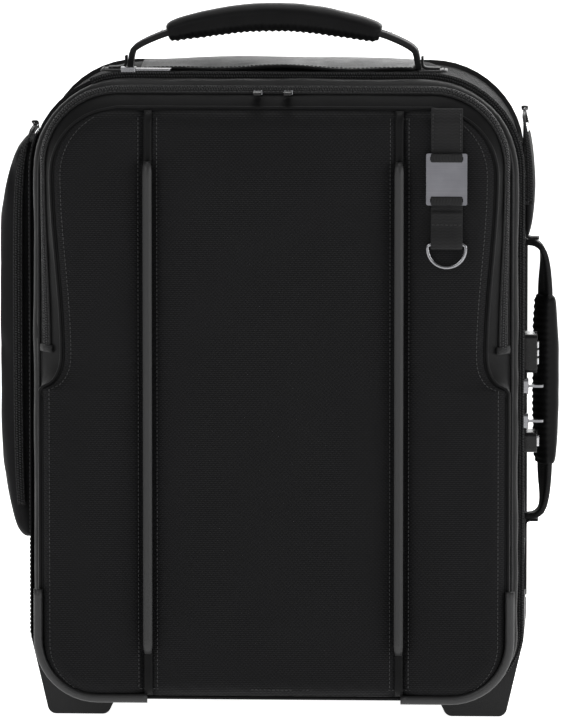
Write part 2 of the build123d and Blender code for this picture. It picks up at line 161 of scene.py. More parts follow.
def loft(name, rings, around=True, close=True, caps=True):
    """Joins rings of points with faces. around: the row of rings meets its start. close: each ring is
    closed. caps: the first and the last ring get a face."""
    count = len(rings[0])
    points = [p for ring in rings for p in ring]
    along = lengths([ring[0] for ring in rings] + [rings[0][0]])
    across = lengths(list(rings[0]) + [rings[0][0]])
    faces, uvs = [], []
    ring_steps = len(rings) if around else len(rings) - 1
    side_steps = count if close else count - 1
    for i in range(ring_steps):
        after = (i + 1) % len(rings)
        for j in range(side_steps):
            beside = (j + 1) % count
            faces.append((i * count + j, after * count + j, after * count + beside, i * count + beside))
            uvs.append(((along[i], across[j]), (along[i + 1], across[j]),
                        (along[i + 1], across[j + 1]), (along[i], across[j + 1])))
    if caps and not around:
        for ring in (0, len(rings) - 1):
            faces.append(tuple(ring * count + j for j in range(count)))
            uvs.append(tuple((across[j], 0.0) for j in range(count)))
    return build(name, points, faces, uvs)


def outline(half, low, high, corner, upper=None, step=8.0, arc=12, centre=0.0):
    """Points (u, v, outward u, outward v) of a rectangle with rounded corners, anticlockwise from its lower
    right corner. upper is the radius of the upper corners, where it differs."""
    upper = upper or corner
    ends = ((half - corner, low + corner, corner), (half - upper, high - upper, upper),
            (upper - half, high - upper, upper), (corner - half, low + corner, corner))
    counts = (round((high - low - corner - upper) / step), round(2 * (half - upper) / step))
    points = []
    for index, (cu, cv, radius) in enumerate(ends):
        start = math.radians(90 * index - 90)
        for k in range(arc + 1):
            angle = start + math.radians(90 * k / arc)
            nu, nv = math.cos(angle), math.sin(angle)
            points.append((cu + radius * nu, cv + radius * nv, nu, nv))
        cu, cv, radius = ends[(index + 1) % 4]
        a = points[-1]
        b = (cu + radius * a[2], cv + radius * a[3])
        count = max(2, counts[index % 2])
        for k in range(1, count):
            points.append((a[0] + (b[0] - a[0]) * k / count, a[1] + (b[1] - a[1]) * k / count, a[2], a[3]))
    return [(u + centre, v, nu, nv) for u, v, nu, nv in points]


def band(name, points, profile, place, closed=True, vary=None):
    """A solid swept along an outline. profile is a closed row of (offset outwards, depth)."""
    rings = []
    for point in points:
        u, v, nu, nv = point
        ring = []
        for number, (offset, depth) in enumerate(profile):
            if vary:
                offset, depth = vary(point, number, offset, depth)
            ring.append(place(u + nu * offset, v + nv * offset, depth))
        rings.append(ring)
    return loft(name, rings, around=closed)


def half_width(shape, v):
    """Half the width of a rounded rectangle at height v."""
    above = v > (shape["low"] + shape["high"]) / 2
    corner = shape.get("upper", shape["corner"]) if above else shape["corner"]
    beyond = v - shape["high"] + corner if above else shape["low"] + corner - v
    return shape["half"] - corner + math.sqrt(max(0.0, corner ** 2 - max(0.0, beyond) ** 2))


def heights(shape, inset, step):
    """Rows of a rounded rectangle, closer together where its corners turn."""
    lower = shape["corner"] - inset
    upper = shape.get("upper", shape["corner"]) - inset
    low, high = shape["low"] + inset, shape["high"] - inset
    turns = [1 - math.cos(math.radians(90 * k / 14)) for k in range(14)]
    span = high - low - lower - upper
    count = round(span / step)
    middle = [low + lower + span * k / count for k in range(count + 1)]
    return [low + t * lower for t in turns] + middle + [high - t * upper for t in reversed(turns)]


def padded_face(name, rows, columns, half_at, front_at, back_out, place):
    """A closed cushion with rounded-rectangle outline: front_at(u, v) gives its front surface."""
    count = columns + 1
    points, faces, uvs = [], [], []
    for side in (0, 1):
        for v in rows:
            half = half_at(v)
            for k in range(count):
                u = half * (2 * k / columns - 1)
                points.append(place(u, v, front_at(u, v) if side == 0 else back_out))
    flat = [(half_at(v) * (2 * k / columns - 1), v) for v in rows for k in range(count)]
    size = len(flat)
    for side in (0, 1):
        for i in range(len(rows) - 1):
            for k in range(columns):
                a = i * count + k
                corners = (a, a + 1, a + 1 + count, a + count)
                faces.append(tuple(c + side * size for c in corners))
                uvs.append(tuple(flat[c] for c in corners))
    edge = list(range(count)) + [i * count + columns for i in range(1, len(rows))]
    edge += [size - 1 - k for k in range(1, count)] + [i * count for i in range(len(rows) - 2, 0, -1)]
    for a, b in zip(edge, edge[1:] + edge[:1]):
        faces.append((a, b, b + size, a + size))
        uvs.append((flat[a], flat[b], flat[b], flat[a]))
    return build(name, points, faces, uvs)


def dome(name, shape, profile, place, centre=0.0, arc=8, step=10.0):
    """A cushion made of inset outlines: profile is a row of (inset, out)."""
    sides = (max(2, round((shape["high"] - shape["low"]) / step)), max(2, round(2 * shape["half"] / step)))
    rings = []
    for inset, out in profile:
        smaller = dict(half=shape["half"] - inset, low=shape["low"] + inset, high=shape["high"] - inset,
                       corner=max(1.0, shape["corner"] - inset * 0.8))
        rings.append([place(u, v, out) for u, v in even_outline(smaller, arc, sides, centre)])
    return loft(name, rings, around=False)


def even_outline(shape, arc, sides, centre):
    """Like outline(), with the same number of points whatever its size."""
    corner = shape["corner"]
    half, low, high = shape["half"], shape["low"], shape["high"]
    ends = ((half - corner, low + corner, -90), (half - corner, high - corner, 0),
            (corner - half, high - corner, 90), (corner - half, low + corner, 180))
    points = []
    for index, (cu, cv, start) in enumerate(ends):
        for k in range(arc + 1):
            angle = math.radians(start + 90 * k / arc)
            points.append((cu + corner * math.cos(angle) + centre, cv + corner * math.sin(angle)))
        following = ends[(index + 1) % 4]
        end = math.radians(start + 90)
        a = (cu + corner * math.cos(end), cv + corner * math.sin(end))
        b = (following[0] + corner * math.cos(end), following[1] + corner * math.sin(end))
        for k in range(1, sides[index % 2]):
            share = k / sides[index % 2]
            points.append((a[0] + (b[0] - a[0]) * share + centre, a[1] + (b[1] - a[1]) * share))
    return points


def resample(points, step):
    """Evenly spaced (position, direction) along a row of points."""
    points = [Vector(p) for p in points]
    run = lengths(points)
    count = max(1, round(run[-1] / step))
    made, index = [], 0
    for k in range(count + 1):
        distance = run[-1] * k / count
        while index < len(run) - 2 and run[index + 1] < distance:
            index += 1
        span = max(1e-9, run[index + 1] - run[index])
        share = (distance - run[index]) / span
        direction = (points[index + 1] - points[index]).normalized()
        made.append((points[index].lerp(points[index + 1], share), direction))
    return made


def rounded_path(points, step=3.0, rounds=3):
    """Corner cutting, which turns a few guide points into a smooth route."""
    points = [Vector(p) for p in points]
    for _ in range(rounds):
        cut = [points[0]]
        for a, b in zip(points, points[1:]):
            cut += [a.lerp(b, 0.25), a.lerp(b, 0.75)]
        points = cut + [points[-1]]
    return [position for position, _ in resample(points, step)]


def sweep(name, path, section, across, scale=None, closed=False):
    """A solid along a path. section is a closed row of (sideways, outwards); across is the sideways
    direction, or a function that gives it at a share of the path."""
    path = [Vector(p) for p in path]
    rings = []
    for k, here in enumerate(path):
        before = path[k - 1] if k or closed else here
        after = path[(k + 1) % len(path)] if k < len(path) - 1 or closed else here
        along = (after - before).normalized()
        share = k / max(1, len(path) - 1)
        sideways = Vector(across(share) if callable(across) else across)
        side = (sideways - along * sideways.dot(along)).normalized()
        out = along.cross(side)
        wide, high = scale(share) if scale else (1.0, 1.0)
        rings.append([here + side * a * wide + out * b * high for a, b in section])
    return loft(name, rings, around=closed)


def oval(wide, high, count=12, power=1.0):
    """A closed oval section; a power under 1 makes it squarer."""
    points = []
    for k in range(count):
        angle = 2 * math.pi * k / count
        c, s = math.cos(angle), math.sin(angle)
        points.append((math.copysign(abs(c) ** power, c) * wide / 2,
                       math.copysign(abs(s) ** power, s) * high / 2))
    return points


def strip(wide, thick):
    """Section of a woven strap, with softly rounded edges."""
    a, b = wide / 2, thick / 2
    return [(-a, -b * 0.4), (-a * 0.96, -b), (-a / 3, -b), (a / 3, -b), (a * 0.96, -b), (a, -b * 0.4),
            (a, b * 0.4), (a * 0.96, b), (a / 3, b), (-a / 3, b), (-a * 0.96, b), (-a, b * 0.4)]


def beads(name, stations, long, wide, high):
    """Many small lozenges, such as stitches or zipper teeth, at (position, direction, outward) stations."""
    points, faces = [], []
    for position, along, out in stations:
        along, out = Vector(along).normalized(), Vector(out).normalized()
        side = along.cross(out).normalized()
        first = len(points)
        for share, swell in ((-0.5, 0.35), (-0.3, 1.0), (0.3, 1.0), (0.5, 0.35)):
            centre = Vector(position) + along * long * share
            for a, b in ((-1, 0), (-0.6, 1), (0.6, 1), (1, 0), (0, -0.8)):
                points.append(centre + side * a * swell * wide / 2 + out * b * swell * high / 2)
        for ring in range(3):
            for k in range(5):
                a, b = first + ring * 5 + k, first + ring * 5 + (k + 1) % 5
                faces.append((a, b, b + 5, a + 5))
        faces.append(tuple(first + k for k in range(5)))
        faces.append(tuple(first + 15 + k for k in range(5)))
    return build(name, points, faces)


def seam(name, path, out, pitch=3.4, long=2.5, thick=0.75):
    """A row of stitches along a path; out is a direction or a function of the position."""
    stations = []
    for position, along in resample(path, pitch):
        outward = out(position) if callable(out) else out
        stations.append((position, along, outward))
    return beads(name, stations, long, thick, thick)


def join(name, pieces):
    """One object from several."""
    deselect()
    for piece in pieces:
        piece.select_set(True)
    bpy.context.view_layer.objects.active = pieces[0]
    bpy.ops.object.join()
    pieces[0].name = name
    pieces[0].data.name = name
    return pieces[0]


def block(name, low, high, bevel, segments=3):
    """A bevelled block between two corners, modelled from a cube."""
    deselect()
    low, high = Vector(low) * MM, Vector(high) * MM
    bpy.ops.mesh.primitive_cube_add(size=1, location=(low + high) / 2, scale=high - low)
    piece = bpy.context.object
    piece.name = name
    bpy.ops.object.transform_apply(location=True, rotation=True, scale=True)
    bpy.ops.object.mode_set(mode="EDIT")
    bpy.ops.mesh.select_all(action="SELECT")
    bpy.ops.mesh.bevel(offset=bevel * MM, segments=segments, affect="EDGES")
    bpy.ops.object.mode_set(mode="OBJECT")
    bpy.ops.object.shade_smooth_by_angle(angle=math.radians(40))
    return piece


def cut_away(piece, low, high):
    """Takes a box out of a closed piece."""
    deselect()
    low, high = Vector(low) * MM, Vector(high) * MM
    bpy.ops.mesh.primitive_cube_add(size=1, location=(low + high) / 2, scale=high - low)
    cutter = bpy.context.object
    bpy.ops.object.transform_apply(location=True, rotation=True, scale=True)
    activate(piece)
    modifier = piece.modifiers.new("cut", "BOOLEAN")
    modifier.operation = "DIFFERENCE"
    modifier.solver = "EXACT"
    modifier.object = cutter
    bpy.ops.object.modifier_apply(modifier=modifier.name)
    bpy.data.objects.remove(cutter)


def box_uv(piece):
    """A UV map in metres from the side that each face looks to, for cloth cut on the straight."""
    mesh = piece.data
    layer = mesh.uv_layers.get("cloth") or mesh.uv_layers.new(name="cloth")
    axes = {0: (1, 2), 1: (0, 2), 2: (0, 1)}
    for polygon in mesh.polygons:
        normal = polygon.normal
        main = max(range(3), key=lambda axis: abs(normal[axis]))
        a, b = axes[main]
        for loop in polygon.loop_indices:
            point = mesh.vertices[mesh.loops[loop].vertex_index].co
            layer.data[loop].uv = (point[a], point[b])


def puff(piece, voxel, pressure, cap, frames=20):
    """Blows a closed pad up with cloth simulation, and keeps every point within cap of where it was."""
    activate(piece)
    remesh = piece.modifiers.new("remesh", "REMESH")
    remesh.mode = "VOXEL"
    remesh.voxel_size = voxel * MM
    bpy.ops.object.modifier_apply(modifier=remesh.name)
    before = [v.co.copy() for v in piece.data.vertices]
    cloth = piece.modifiers.new("cloth", "CLOTH")
    cloth.settings.use_pressure = True
    cloth.settings.uniform_pressure_force = pressure
    cloth.settings.effector_weights.gravity = 0.0
    cloth.settings.tension_stiffness = 20
    cloth.settings.compression_stiffness = 20
    cloth.settings.bending_stiffness = 2
    cloth.point_cache.frame_start = 1
    cloth.point_cache.frame_end = frames
    scene = bpy.context.scene
    for number in range(1, frames + 1):
        scene.frame_set(number)
    bpy.ops.object.modifier_apply(modifier=cloth.name)
    scene.frame_set(1)
    for vertex, rest in zip(piece.data.vertices, before):
        move = vertex.co - rest
        if move.length > cap * MM:
            vertex.co = rest + move.normalized() * cap * MM
    subdivide = piece.modifiers.new("smooth", "SUBSURF")
    subdivide.levels = subdivide.render_levels = 1
    bpy.ops.object.modifier_apply(modifier=subdivide.name)
    bpy.ops.object.shade_smooth()
    box_uv(piece)
    return piece


# ------------------------------------------------------------------ shader helpers
class Maths:
    """A shader socket whose operators add Math nodes."""

    def __init__(self, finish, socket):
        self.finish = finish
        self.socket = socket

    def apply(self, operation, *others, clamp=False):
        settings = {"operation": operation, "use_clamp": clamp}
        return self.finish.node("ShaderNodeMath", settings, [self, *others])

    def __add__(self, other):
        return self.apply("ADD", other)

    __radd__ = __add__

    def __sub__(self, other):
        return self.apply("SUBTRACT", other)

    def __mul__(self, other):
        return self.apply("MULTIPLY", other)

    __rmul__ = __mul__

    def __truediv__(self, other):
        return self.apply("DIVIDE", other)

    def sine(self):
        return self.apply("SINE")

    def floor(self):
        return self.apply("FLOOR")

    def size(self):
        return self.apply("ABSOLUTE")

    def clamp(self):
        return self.apply("ADD", 0.0, clamp=True)

    def power(self, exponent):
        return self.apply("POWER", exponent)


class Finish:
    """A material with a Principled shader, and one method that adds any other node."""

    def __init__(self, name, roughness, metallic=0.0, sheen=0.0, coat=0.0, specular=0.5):
        self.material = bpy.data.materials.new(name)
        self.material.use_nodes = True
        self.tree = self.material.node_tree
        self.shader = self.tree.nodes["Principled BSDF"]
        self.shader.inputs["Roughness"].default_value = roughness
        self.shader.inputs["Metallic"].default_value = metallic
        self.shader.inputs["Sheen Weight"].default_value = sheen
        self.shader.inputs["Sheen Roughness"].default_value = 0.45
        self.shader.inputs["Coat Weight"].default_value = coat
        self.shader.inputs["Coat Roughness"].default_value = 0.25
        self.shader.inputs["Specular IOR Level"].default_value = specular

    def node(self, kind, settings=None, inputs=None, output=0):
        """Adds a node; settings are set first, then inputs, by name or in order."""
        added = self.tree.nodes.new(kind)
        for name, value in (settings or {}).items():
            setattr(added, name, value)
        pairs = inputs.items() if isinstance(inputs, dict) else enumerate(inputs or [])
        for name, value in pairs:
            if isinstance(value, Maths):
                self.tree.links.new(value.socket, added.inputs[name])
            else:
                added.inputs[name].default_value = value
        return Maths(self, added.outputs[output])

    def place(self, from_cloth):
        """Object coordinates, or the cloth's own UV map, as three numbers in millimetres."""
        if from_cloth:
            source = self.node("ShaderNodeUVMap", {"uv_map": "cloth"})
        else:
            source = self.node("ShaderNodeTexCoord", output="Object")
        scaled = self.node("ShaderNodeVectorMath", {"operation": "SCALE"}, {0: source, "Scale": 1 / MM})
        split = self.node("ShaderNodeSeparateXYZ", None, [scaled])
        nodes = split.socket.node
        return scaled, [Maths(self, nodes.outputs[k]) for k in range(3)]

    def noise(self, where, scale, detail=3.0, roughness=0.55):
        return self.node("ShaderNodeTexNoise", None,
                         {"Vector": where, "Scale": scale, "Detail": detail, "Roughness": roughness})

    def colour(self, mask, dark, light):
        """A colour between two, by a mask of 0 to 1."""
        inputs = {0: mask, 6: (*dark, 1.0), 7: (*light, 1.0)}
        mixed = self.node("ShaderNodeMix", {"data_type": "RGBA"}, inputs, 2)
        self.tree.links.new(mixed.socket, self.shader.inputs["Base Color"])

    def rough(self, value):
        self.tree.links.new(value.socket, self.shader.inputs["Roughness"])

    def bump(self, height, strength, distance, under=None):
        inputs = {"Height": height, "Strength": strength, "Distance": distance * MM}
        if under:
            inputs["Normal"] = under
        return self.node("ShaderNodeBump", None, inputs)

    def normal(self, value):
        self.tree.links.new(value.socket, self.shader.inputs["Normal"])
        return self.material


def shade(colour, factor):
    return tuple(c * factor for c in colour)


def ballistic_nylon(name, colour, pitch=1.6, strength=0.9, sheen=0.03):
    """Heavy basket-woven nylon: short crosswise floats in staggered rows."""
    finish = Finish(name, 0.62, sheen=sheen, specular=0.045)
    where, (u, v, _) = finish.place(True)
    row = v / pitch
    odd = row.floor() * math.pi
    float_yarn = ((u * (math.pi / pitch) + odd).sine() * 0.5 + 0.5)
    yarn = (row * math.pi).sine().size()
    height = yarn * (float_yarn * 0.6 + 0.4)
    cloudy = finish.noise(where, 0.012, 4.0)
    fibre = finish.noise(where, 1.7, 2.0)
    # Painted highlight and painted shade: the colour is lighter on the raised yarns and darker in the hollows
    # between them, following the weave's height; the fibre and cloudy noise add random tone.
    mask = (height * 0.55 + fibre * 0.35 + cloudy * 0.25).clamp()
    finish.colour(mask, shade(colour, 0.2), shade(colour, 2.4))
    finish.rough((cloudy * 0.2 + 0.55 - height * 0.08).clamp())
    soft = finish.bump(cloudy, 0.25, 2.0)
    return finish.normal(finish.bump(height + fibre * 0.25, strength, 0.35, soft))


def satin_cloth(name, colour):
    """Smooth coated cloth with a soft gloss, used for flaps and bands."""
    finish = Finish(name, 0.55, sheen=0.03, specular=0.07)
    where, (u, v, _) = finish.place(True)
    thread = (u * 9.0 + v * 5.0).sine() * 0.5 + 0.5
    creases = finish.noise(where, 0.05, 5.0, 0.6)
    # Painted shade and painted highlight: the colour is darker in the hollows of the creases and lighter on
    # their crests and on the raised twill threads.
    finish.colour((creases * 0.8 + thread * 0.1).clamp(), shade(colour, 0.6), shade(colour, 1.5))
    finish.rough(creases * 0.25 + 0.3)
    return finish.normal(finish.bump(thread * 0.15 + creases, 0.35, 0.9))


def webbing_cloth(name, colour):
    """Woven strap with fine ribs across and a herringbone along."""
    finish = Finish(name, 0.6, sheen=0.05, specular=0.12)
    where, (u, v, _) = finish.place(True)
    rib = (u * (math.pi / 0.9)).sine().size()
    bend = (v * (2 * math.pi / 6.0)).sine().apply("ARCSINE")
    zigzag = (bend * 1.1 + u * (2 * math.pi / 2.4)).sine() * 0.5 + 0.5
    worn = finish.noise(where, 0.06, 4.0)
    # Painted highlight and painted shade: the colour is lighter on the raised ribs and herringbone and darker
    # between them; the worn noise adds random tone.
    finish.colour((rib * 0.35 + zigzag * 0.3 + worn * 0.35).clamp(), shade(colour, 0.45), shade(colour, 1.8))
    finish.rough(worn * 0.2 + 0.45)
    return finish.normal(finish.bump(rib * 0.6 + zigzag * 0.5, 0.8, 0.35))


def soft_rubber(name, colour, roughness=0.5):
    """Moulded trim: satin skin, fine grain, paler where it has rubbed."""
    finish = Finish(name, roughness, coat=0.03, specular=0.4)
    where, _ = finish.place(False)
    grain = finish.noise(where, 2.2, 2.0)
    rubbed = finish.noise(where, 0.05, 5.0, 0.65)
    finish.colour((rubbed * 0.8 + grain * 0.2).clamp(), shade(colour, 0.7), shade(colour, 1.35))
    finish.rough(rubbed * 0.2 + (roughness - 0.1))
    return finish.normal(finish.bump(grain, 0.3, 0.25))


def moulded_plastic(name, colour, grain_size=0.9, roughness=0.5, depth=0.3, edge=0.8):
    """Injection-moulded plastic with a leather-like grain and softened edges."""
    finish = Finish(name, roughness, specular=0.25)
    where, _ = finish.place(False)
    cells = finish.node("ShaderNodeTexVoronoi", {"feature": "SMOOTH_F1"},
                        {"Vector": where, "Scale": grain_size})
    scuffs = finish.noise(where, 0.07, 6.0, 0.7)
    finish.colour(scuffs, shade(colour, 0.75), shade(colour, 1.35))
    finish.rough(scuffs * 0.25 + (roughness - 0.1))
    eased = finish.node("ShaderNodeBevel", {"samples": 4}, {"Radius": edge * MM})
    return finish.normal(finish.bump(cells, 0.4, depth, eased))


def metal(name, colour, roughness, streak, edge=0.3):
    """Plated or brushed metal: streaks along one axis, fine scratches, eased edges."""
    finish = Finish(name, roughness, metallic=1.0)
    where, _ = finish.place(False)
    stretched = finish.node("ShaderNodeVectorMath", {"operation": "MULTIPLY"}, {0: where, 1: streak})
    brushed = finish.noise(stretched, 1.0, 4.0, 0.7)
    blotch = finish.noise(where, 0.08, 4.0)
    finish.colour((brushed * 0.6 + blotch * 0.4).clamp(), shade(colour, 0.6), shade(colour, 1.4))
    finish.rough((brushed * 0.25 + blotch * 0.15 + (roughness - 0.2)).clamp())
    eased = finish.node("ShaderNodeBevel", {"samples": 4}, {"Radius": edge * MM})
    return finish.normal(finish.bump(brushed, 0.2, 0.12, eased))


def air_mesh(name, colour):
    """Spacer mesh over foam: rows of round holes in a knitted face."""
    finish = Finish(name, 0.8, sheen=0.15, specular=0.2)
    where, _ = finish.place(True)
    cells = finish.node("ShaderNodeTexVoronoi", None, {"Vector": where, "Scale": 0.36, "Randomness": 0.12})
    hole = (cells * 3.2 - 0.2).clamp()
    cloudy = finish.noise(where, 0.03, 3.0)
    knit = finish.noise(where, 1.5, 2.0)
    # Painted shade: the colour is darkest down in the mesh's holes and lighter on the knitted face round
    # them; the cloudy and knit noise add random tone.
    finish.colour((hole * 0.7 + cloudy * 0.2 + knit * 0.15).clamp(), shade(colour, 0.15), shade(colour, 1.7))
    return finish.normal(finish.bump(hole + knit * 0.2, 0.9, 0.9))


# ------------------------------------------------------------------ settings
def colour_property(name, description, default):
    return FloatVectorProperty(name=name, description=description, default=default, size=3,
                               min=0.0, max=1.0, subtype="COLOR")


def length_property(name, description, default):
    return FloatProperty(name=name, description=description, default=default, unit="LENGTH")


class BackpackColours(bpy.types.PropertyGroup):
    """Colours of the finishes."""
    nylon: colour_property("Nylon", "Ballistic nylon of the panels", (0.0055, 0.0055, 0.0058))
    satin: colour_property("Satin", "Coated cloth of flaps and bands", (0.0048, 0.0048, 0.005))
    webbing: colour_property("Webbing", "Straps and binding", (0.0085, 0.0085, 0.0088))
    thread: colour_property("Thread", "Stitches", (0.016, 0.016, 0.0165))
    rubber: colour_property("Rubber", "Seam bars and bumpers", (0.011, 0.011, 0.0114))
    plastic: colour_property("Plastic", "Moulded guards and handle parts", (0.008, 0.008, 0.0083))
    lining: colour_property("Lining", "Inside of the compartments", (0.09, 0.09, 0.095))
    gunmetal: colour_property("Gunmetal", "Strap plate", (0.17, 0.17, 0.185))
    chrome: colour_property("Dark chrome", "Rings and sliders", (0.22, 0.22, 0.23))
    aluminium: colour_property("Aluminium", "Telescopic tubes", (0.30, 0.30, 0.31))


class BackpackShape(bpy.types.PropertyGroup):
    """Sizes of the soft shapes."""
    crown: length_property("Crown", "How far the front panels swell", 0.007)
    valley: length_property("Valley", "Depth of the seams beside the rubber bars", 0.0035)
    wrinkle: length_property("Wrinkle", "Height of the unevenness of the cloth", 0.0009)
    dome: length_property("Dome", "How far the top swells", 0.006)
    tooth: length_property("Tooth pitch", "Distance between zipper teeth", 0.002)


class BackpackView(bpy.types.PropertyGroup):
    """Camera view."""
    azimuth: FloatProperty(name="Azimuth", description="Camera angle round the pack",
                           default=math.radians(2.5), subtype="ANGLE")
    elevation: FloatProperty(name="Elevation", description="Camera angle above the floor",
                             default=math.radians(7.0), subtype="ANGLE")
    distance: length_property("Distance", "From the camera to the middle of the pack", 7.06)
    seen: length_property("Seen height", "Height of the picture at the pack", 0.579)


MATERIALS = {}


def finishes():
    """Makes every material once."""
    c = bpy.context.scene.backpack_colours
    if MATERIALS:
        return MATERIALS
    MATERIALS.update(
        nylon=ballistic_nylon("ballistic_nylon", tuple(c.nylon)),
        side_nylon=ballistic_nylon("plain_nylon", shade(tuple(c.nylon), 1.1), pitch=0.9, strength=0.6),
        satin=satin_cloth("coated_satin", tuple(c.satin)),
        webbing=webbing_cloth("webbing_weave", tuple(c.webbing)),
        thread=soft_rubber("bonded_thread", tuple(c.thread), 0.6),
        piping=satin_cloth("piping_cloth", shade(tuple(c.satin), 1.2)),
        rubber=soft_rubber("seam_rubber", tuple(c.rubber)),
        plastic=moulded_plastic("guard_plastic", tuple(c.plastic)),
        fine_plastic=moulded_plastic("fitting_plastic", tuple(c.plastic), 2.5, 0.38, 0.08, 0.5),
        gloss=moulded_plastic("lock_plastic", shade(tuple(c.plastic), 0.8), 3.0, 0.22, 0.03, 0.5),
        coil=moulded_plastic("zipper_coil", shade(tuple(c.plastic), 2.2), 4.0, 0.35, 0.02, 0.2),
        tape=webbing_cloth("zipper_tape", shade(tuple(c.webbing), 0.9)),
        mesh=air_mesh("spacer_mesh", shade(tuple(c.webbing), 1.6)),
        lining=ballistic_nylon("lining_cloth", tuple(c.lining), pitch=0.7, strength=0.3, sheen=0.15),
        board=moulded_plastic("frame_board", (0.05, 0.05, 0.052), 1.2, 0.6, 0.3),
        gunmetal=metal("brushed_gunmetal", tuple(c.gunmetal), 0.42, (0.02, 1.0, 3.0)),
        chrome=metal("dark_chrome", tuple(c.chrome), 0.22, (0.3, 0.3, 0.3)),
        bright=metal("polished_steel", (0.55, 0.55, 0.56), 0.25, (0.4, 0.4, 0.4)),
        aluminium=metal("anodised_tube", tuple(c.aluminium), 0.4, (2.5, 2.5, 0.03)),
        tyre=soft_rubber("tyre_rubber", (0.018, 0.018, 0.018), 0.7),
        hub=moulded_plastic("hub_plastic", (0.06, 0.06, 0.062), 2.0, 0.45, 0.1),
    )
    return MATERIALS


def dress(piece, material, body=None, replaces=()):
    """Gives a piece its material, its body and the CAD nodes that it stands for."""
    if not piece.data.uv_layers.get("cloth"):
        box_uv(piece)
    piece.data.materials.clear()
    piece.data.materials.append(finishes()[material])
    if body:
        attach(piece, body)
    if replaces:
        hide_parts(*replaces)
    return piece


def blend_flap(piece, material, replaces=()):
    """Dresses a piece that crosses the front pocket's fold."""
    dress(piece, material, None, replaces)
    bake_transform(piece)
    return piece


# ------------------------------------------------------------------ shared soft shapes
def stretches(points, keep):
    """The stretches of a closed outline that keep() holds, each in order."""
    start = next((i for i in range(len(points)) if keep(points[i]) and not keep(points[i - 1])), 0)
    found, running = [], False
    for point in points[start:] + points[:start]:
        if keep(point):
            if not running:
                found.append([])
            found[-1].append(point)
        running = keep(point)
    return found


def wall_section(first, last, outer, inner, steps):
    """Closed section of a wall: the outer skin from first to last depth, and the inner skin home again."""
    run = [first + (last - first) * k / steps for k in range(steps + 1)]
    return [(outer, depth) for depth in run] + [(inner, depth) for depth in reversed(run)]


def cord_section(radius, offset, depth, count=8):
    angles = [2 * math.pi * k / count for k in range(count)]
    return [(offset + radius * math.cos(a), depth + radius * math.sin(a)) for a in angles]


def even_points(points, pitch, closed=False):
    """An outline's points (u, v, outward u, outward v) again, at an even pitch."""
    points = points + points[:1] if closed else points
    run = lengths([(u, v, 0) for u, v, _, _ in points])
    made, index = [], 0
    for k in range(round(run[-1] / pitch)):
        while run[index + 1] < k * pitch:
            index += 1
        share = (k * pitch - run[index]) / (run[index + 1] - run[index])
        made.append(tuple(a + (b - a) * share for a, b in zip(points[index], points[index + 1])))
    return made


def on_surface(point, surface, t, lift, place):
    """A place on a surface that follows an outline. surface gives (offset, depth) t mm across it."""
    u, v, nu, nv = point
    offset, depth = surface(point, t)
    ahead, deeper = surface(point, t + 0.2)
    rise, reach = ahead - offset, deeper - depth
    slope = math.hypot(rise, reach)
    offset += lift * reach / slope
    return Vector(place(u + nu * offset, v + nv * offset, depth - lift * rise / slope))


def surface_row(points, surface, t, lift, place, pitch, crosswise, closed=False):
    """Stations for beads in a row on a surface, each across the row or along it."""
    stations = []
    for point in even_points(points, pitch, closed):
        here = on_surface(point, surface, t, lift, place)
        across = on_surface(point, surface, t + 1, lift, place) - here
        outward = on_surface(point, surface, t, lift + 1, place) - here
        stations.append((here, across if crosswise else across.cross(outward), outward))
    return stations


def stitch_surface(name, points, surface, t, place, closed=False):
    return beads(name, surface_row(points, surface, t, 0.15, place, 3.4, False, closed), 2.5, 0.75, 0.75)


def stitch_outline(name, points, place, offset, depth):
    """Stitches along a wall, at one depth."""
    return stitch_surface(name, points, lambda point, t: (offset, depth + t), 0.0, place)


def half_zipper(name, points, place, surface, side, width, body, replaces=()):
    """One tape of a zipper with its row of teeth and its stitches. The tapes meet where the surface's t
    is 0."""
    pitch = bpy.context.scene.backpack_shape.tooth / MM
    across = [side * (0.15 + (width - 0.15) * k / 3) for k in range(4)]
    rings = []
    for point in points:
        lower = [on_surface(point, surface, t, 0.0, place) for t in across]
        upper = [on_surface(point, surface, t, 0.9, place) for t in reversed(across)]
        rings.append(lower + upper)
    dress(loft(name + "_tape", rings, around=False), "tape", body, replaces)
    row = surface_row(points, surface, side * 1.05, 1.1, place, pitch, True)
    if side > 0:
        row = [(here.lerp(after, 0.5), *rest) for (here, *rest), (after, *_) in zip(row, row[1:])]
    dress(beads(name + "_teeth", row, 2.4, 1.25, 1.5), "coil", body)
    row = surface_row(points, surface, side * (width - 1.0), 1.0, place, 3.4, False)
    dress(beads(name + "_stitches", row, 2.5, 0.75, 0.75), "thread", body)


def wedge_inset(v):
    """How far the wedge gussets draw the front panel in at height v."""
    lean = 9.2 + 8.2 * smoothstep((WEDGE_TOP - v) / 140)
    below = min(1.0, max(0.0, (WEDGE_FULL - v) / (WEDGE_FULL - WEDGE_LOW)))
    return lean * math.sqrt(1 - below ** 2)


def side_half(v):
    """Half the width of the padded front panel at height v."""
    return POCKET["half"] - wedge_inset(v)


PANEL_LOW = POCKET["low"] - 1
PANEL_HIGH = POCKET["high"] - 9.5
PANEL = dict(low=PANEL_LOW, high=PANEL_HIGH, corner=POCKET["corner"] - 2, upper=POCKET["upper"] - 8)
BAR_TOP = node_box("seam_bars_upper")[1].z
BAR_LOW = node_box("seam_bars_lower")[0].z
BAR_WIDTH = 7.0
PANEL_FACE = -PANEL_FRONT


def panel_turn(v):
    """Radius of the panel's nearest corner, and how far v reaches past the start of that corner."""
    if v > (PANEL_LOW + PANEL_HIGH) / 2:
        return PANEL["upper"], v - PANEL_HIGH + PANEL["upper"]
    return PANEL["corner"], PANEL_LOW + PANEL["corner"] - v


def panel_half(v):
    radius, beyond = panel_turn(v)
    return side_half(v) - radius + math.sqrt(max(0.0, radius ** 2 - max(0.0, beyond) ** 2))


def panel_depth(u, v):
    """How far a point is inside the edge of the front panel."""
    radius, beyond = panel_turn(v)
    across = abs(u) - (side_half(v) - radius)
    return radius - math.hypot(max(across, 0.0), max(beyond, 0.0)) - min(max(across, beyond), 0.0)


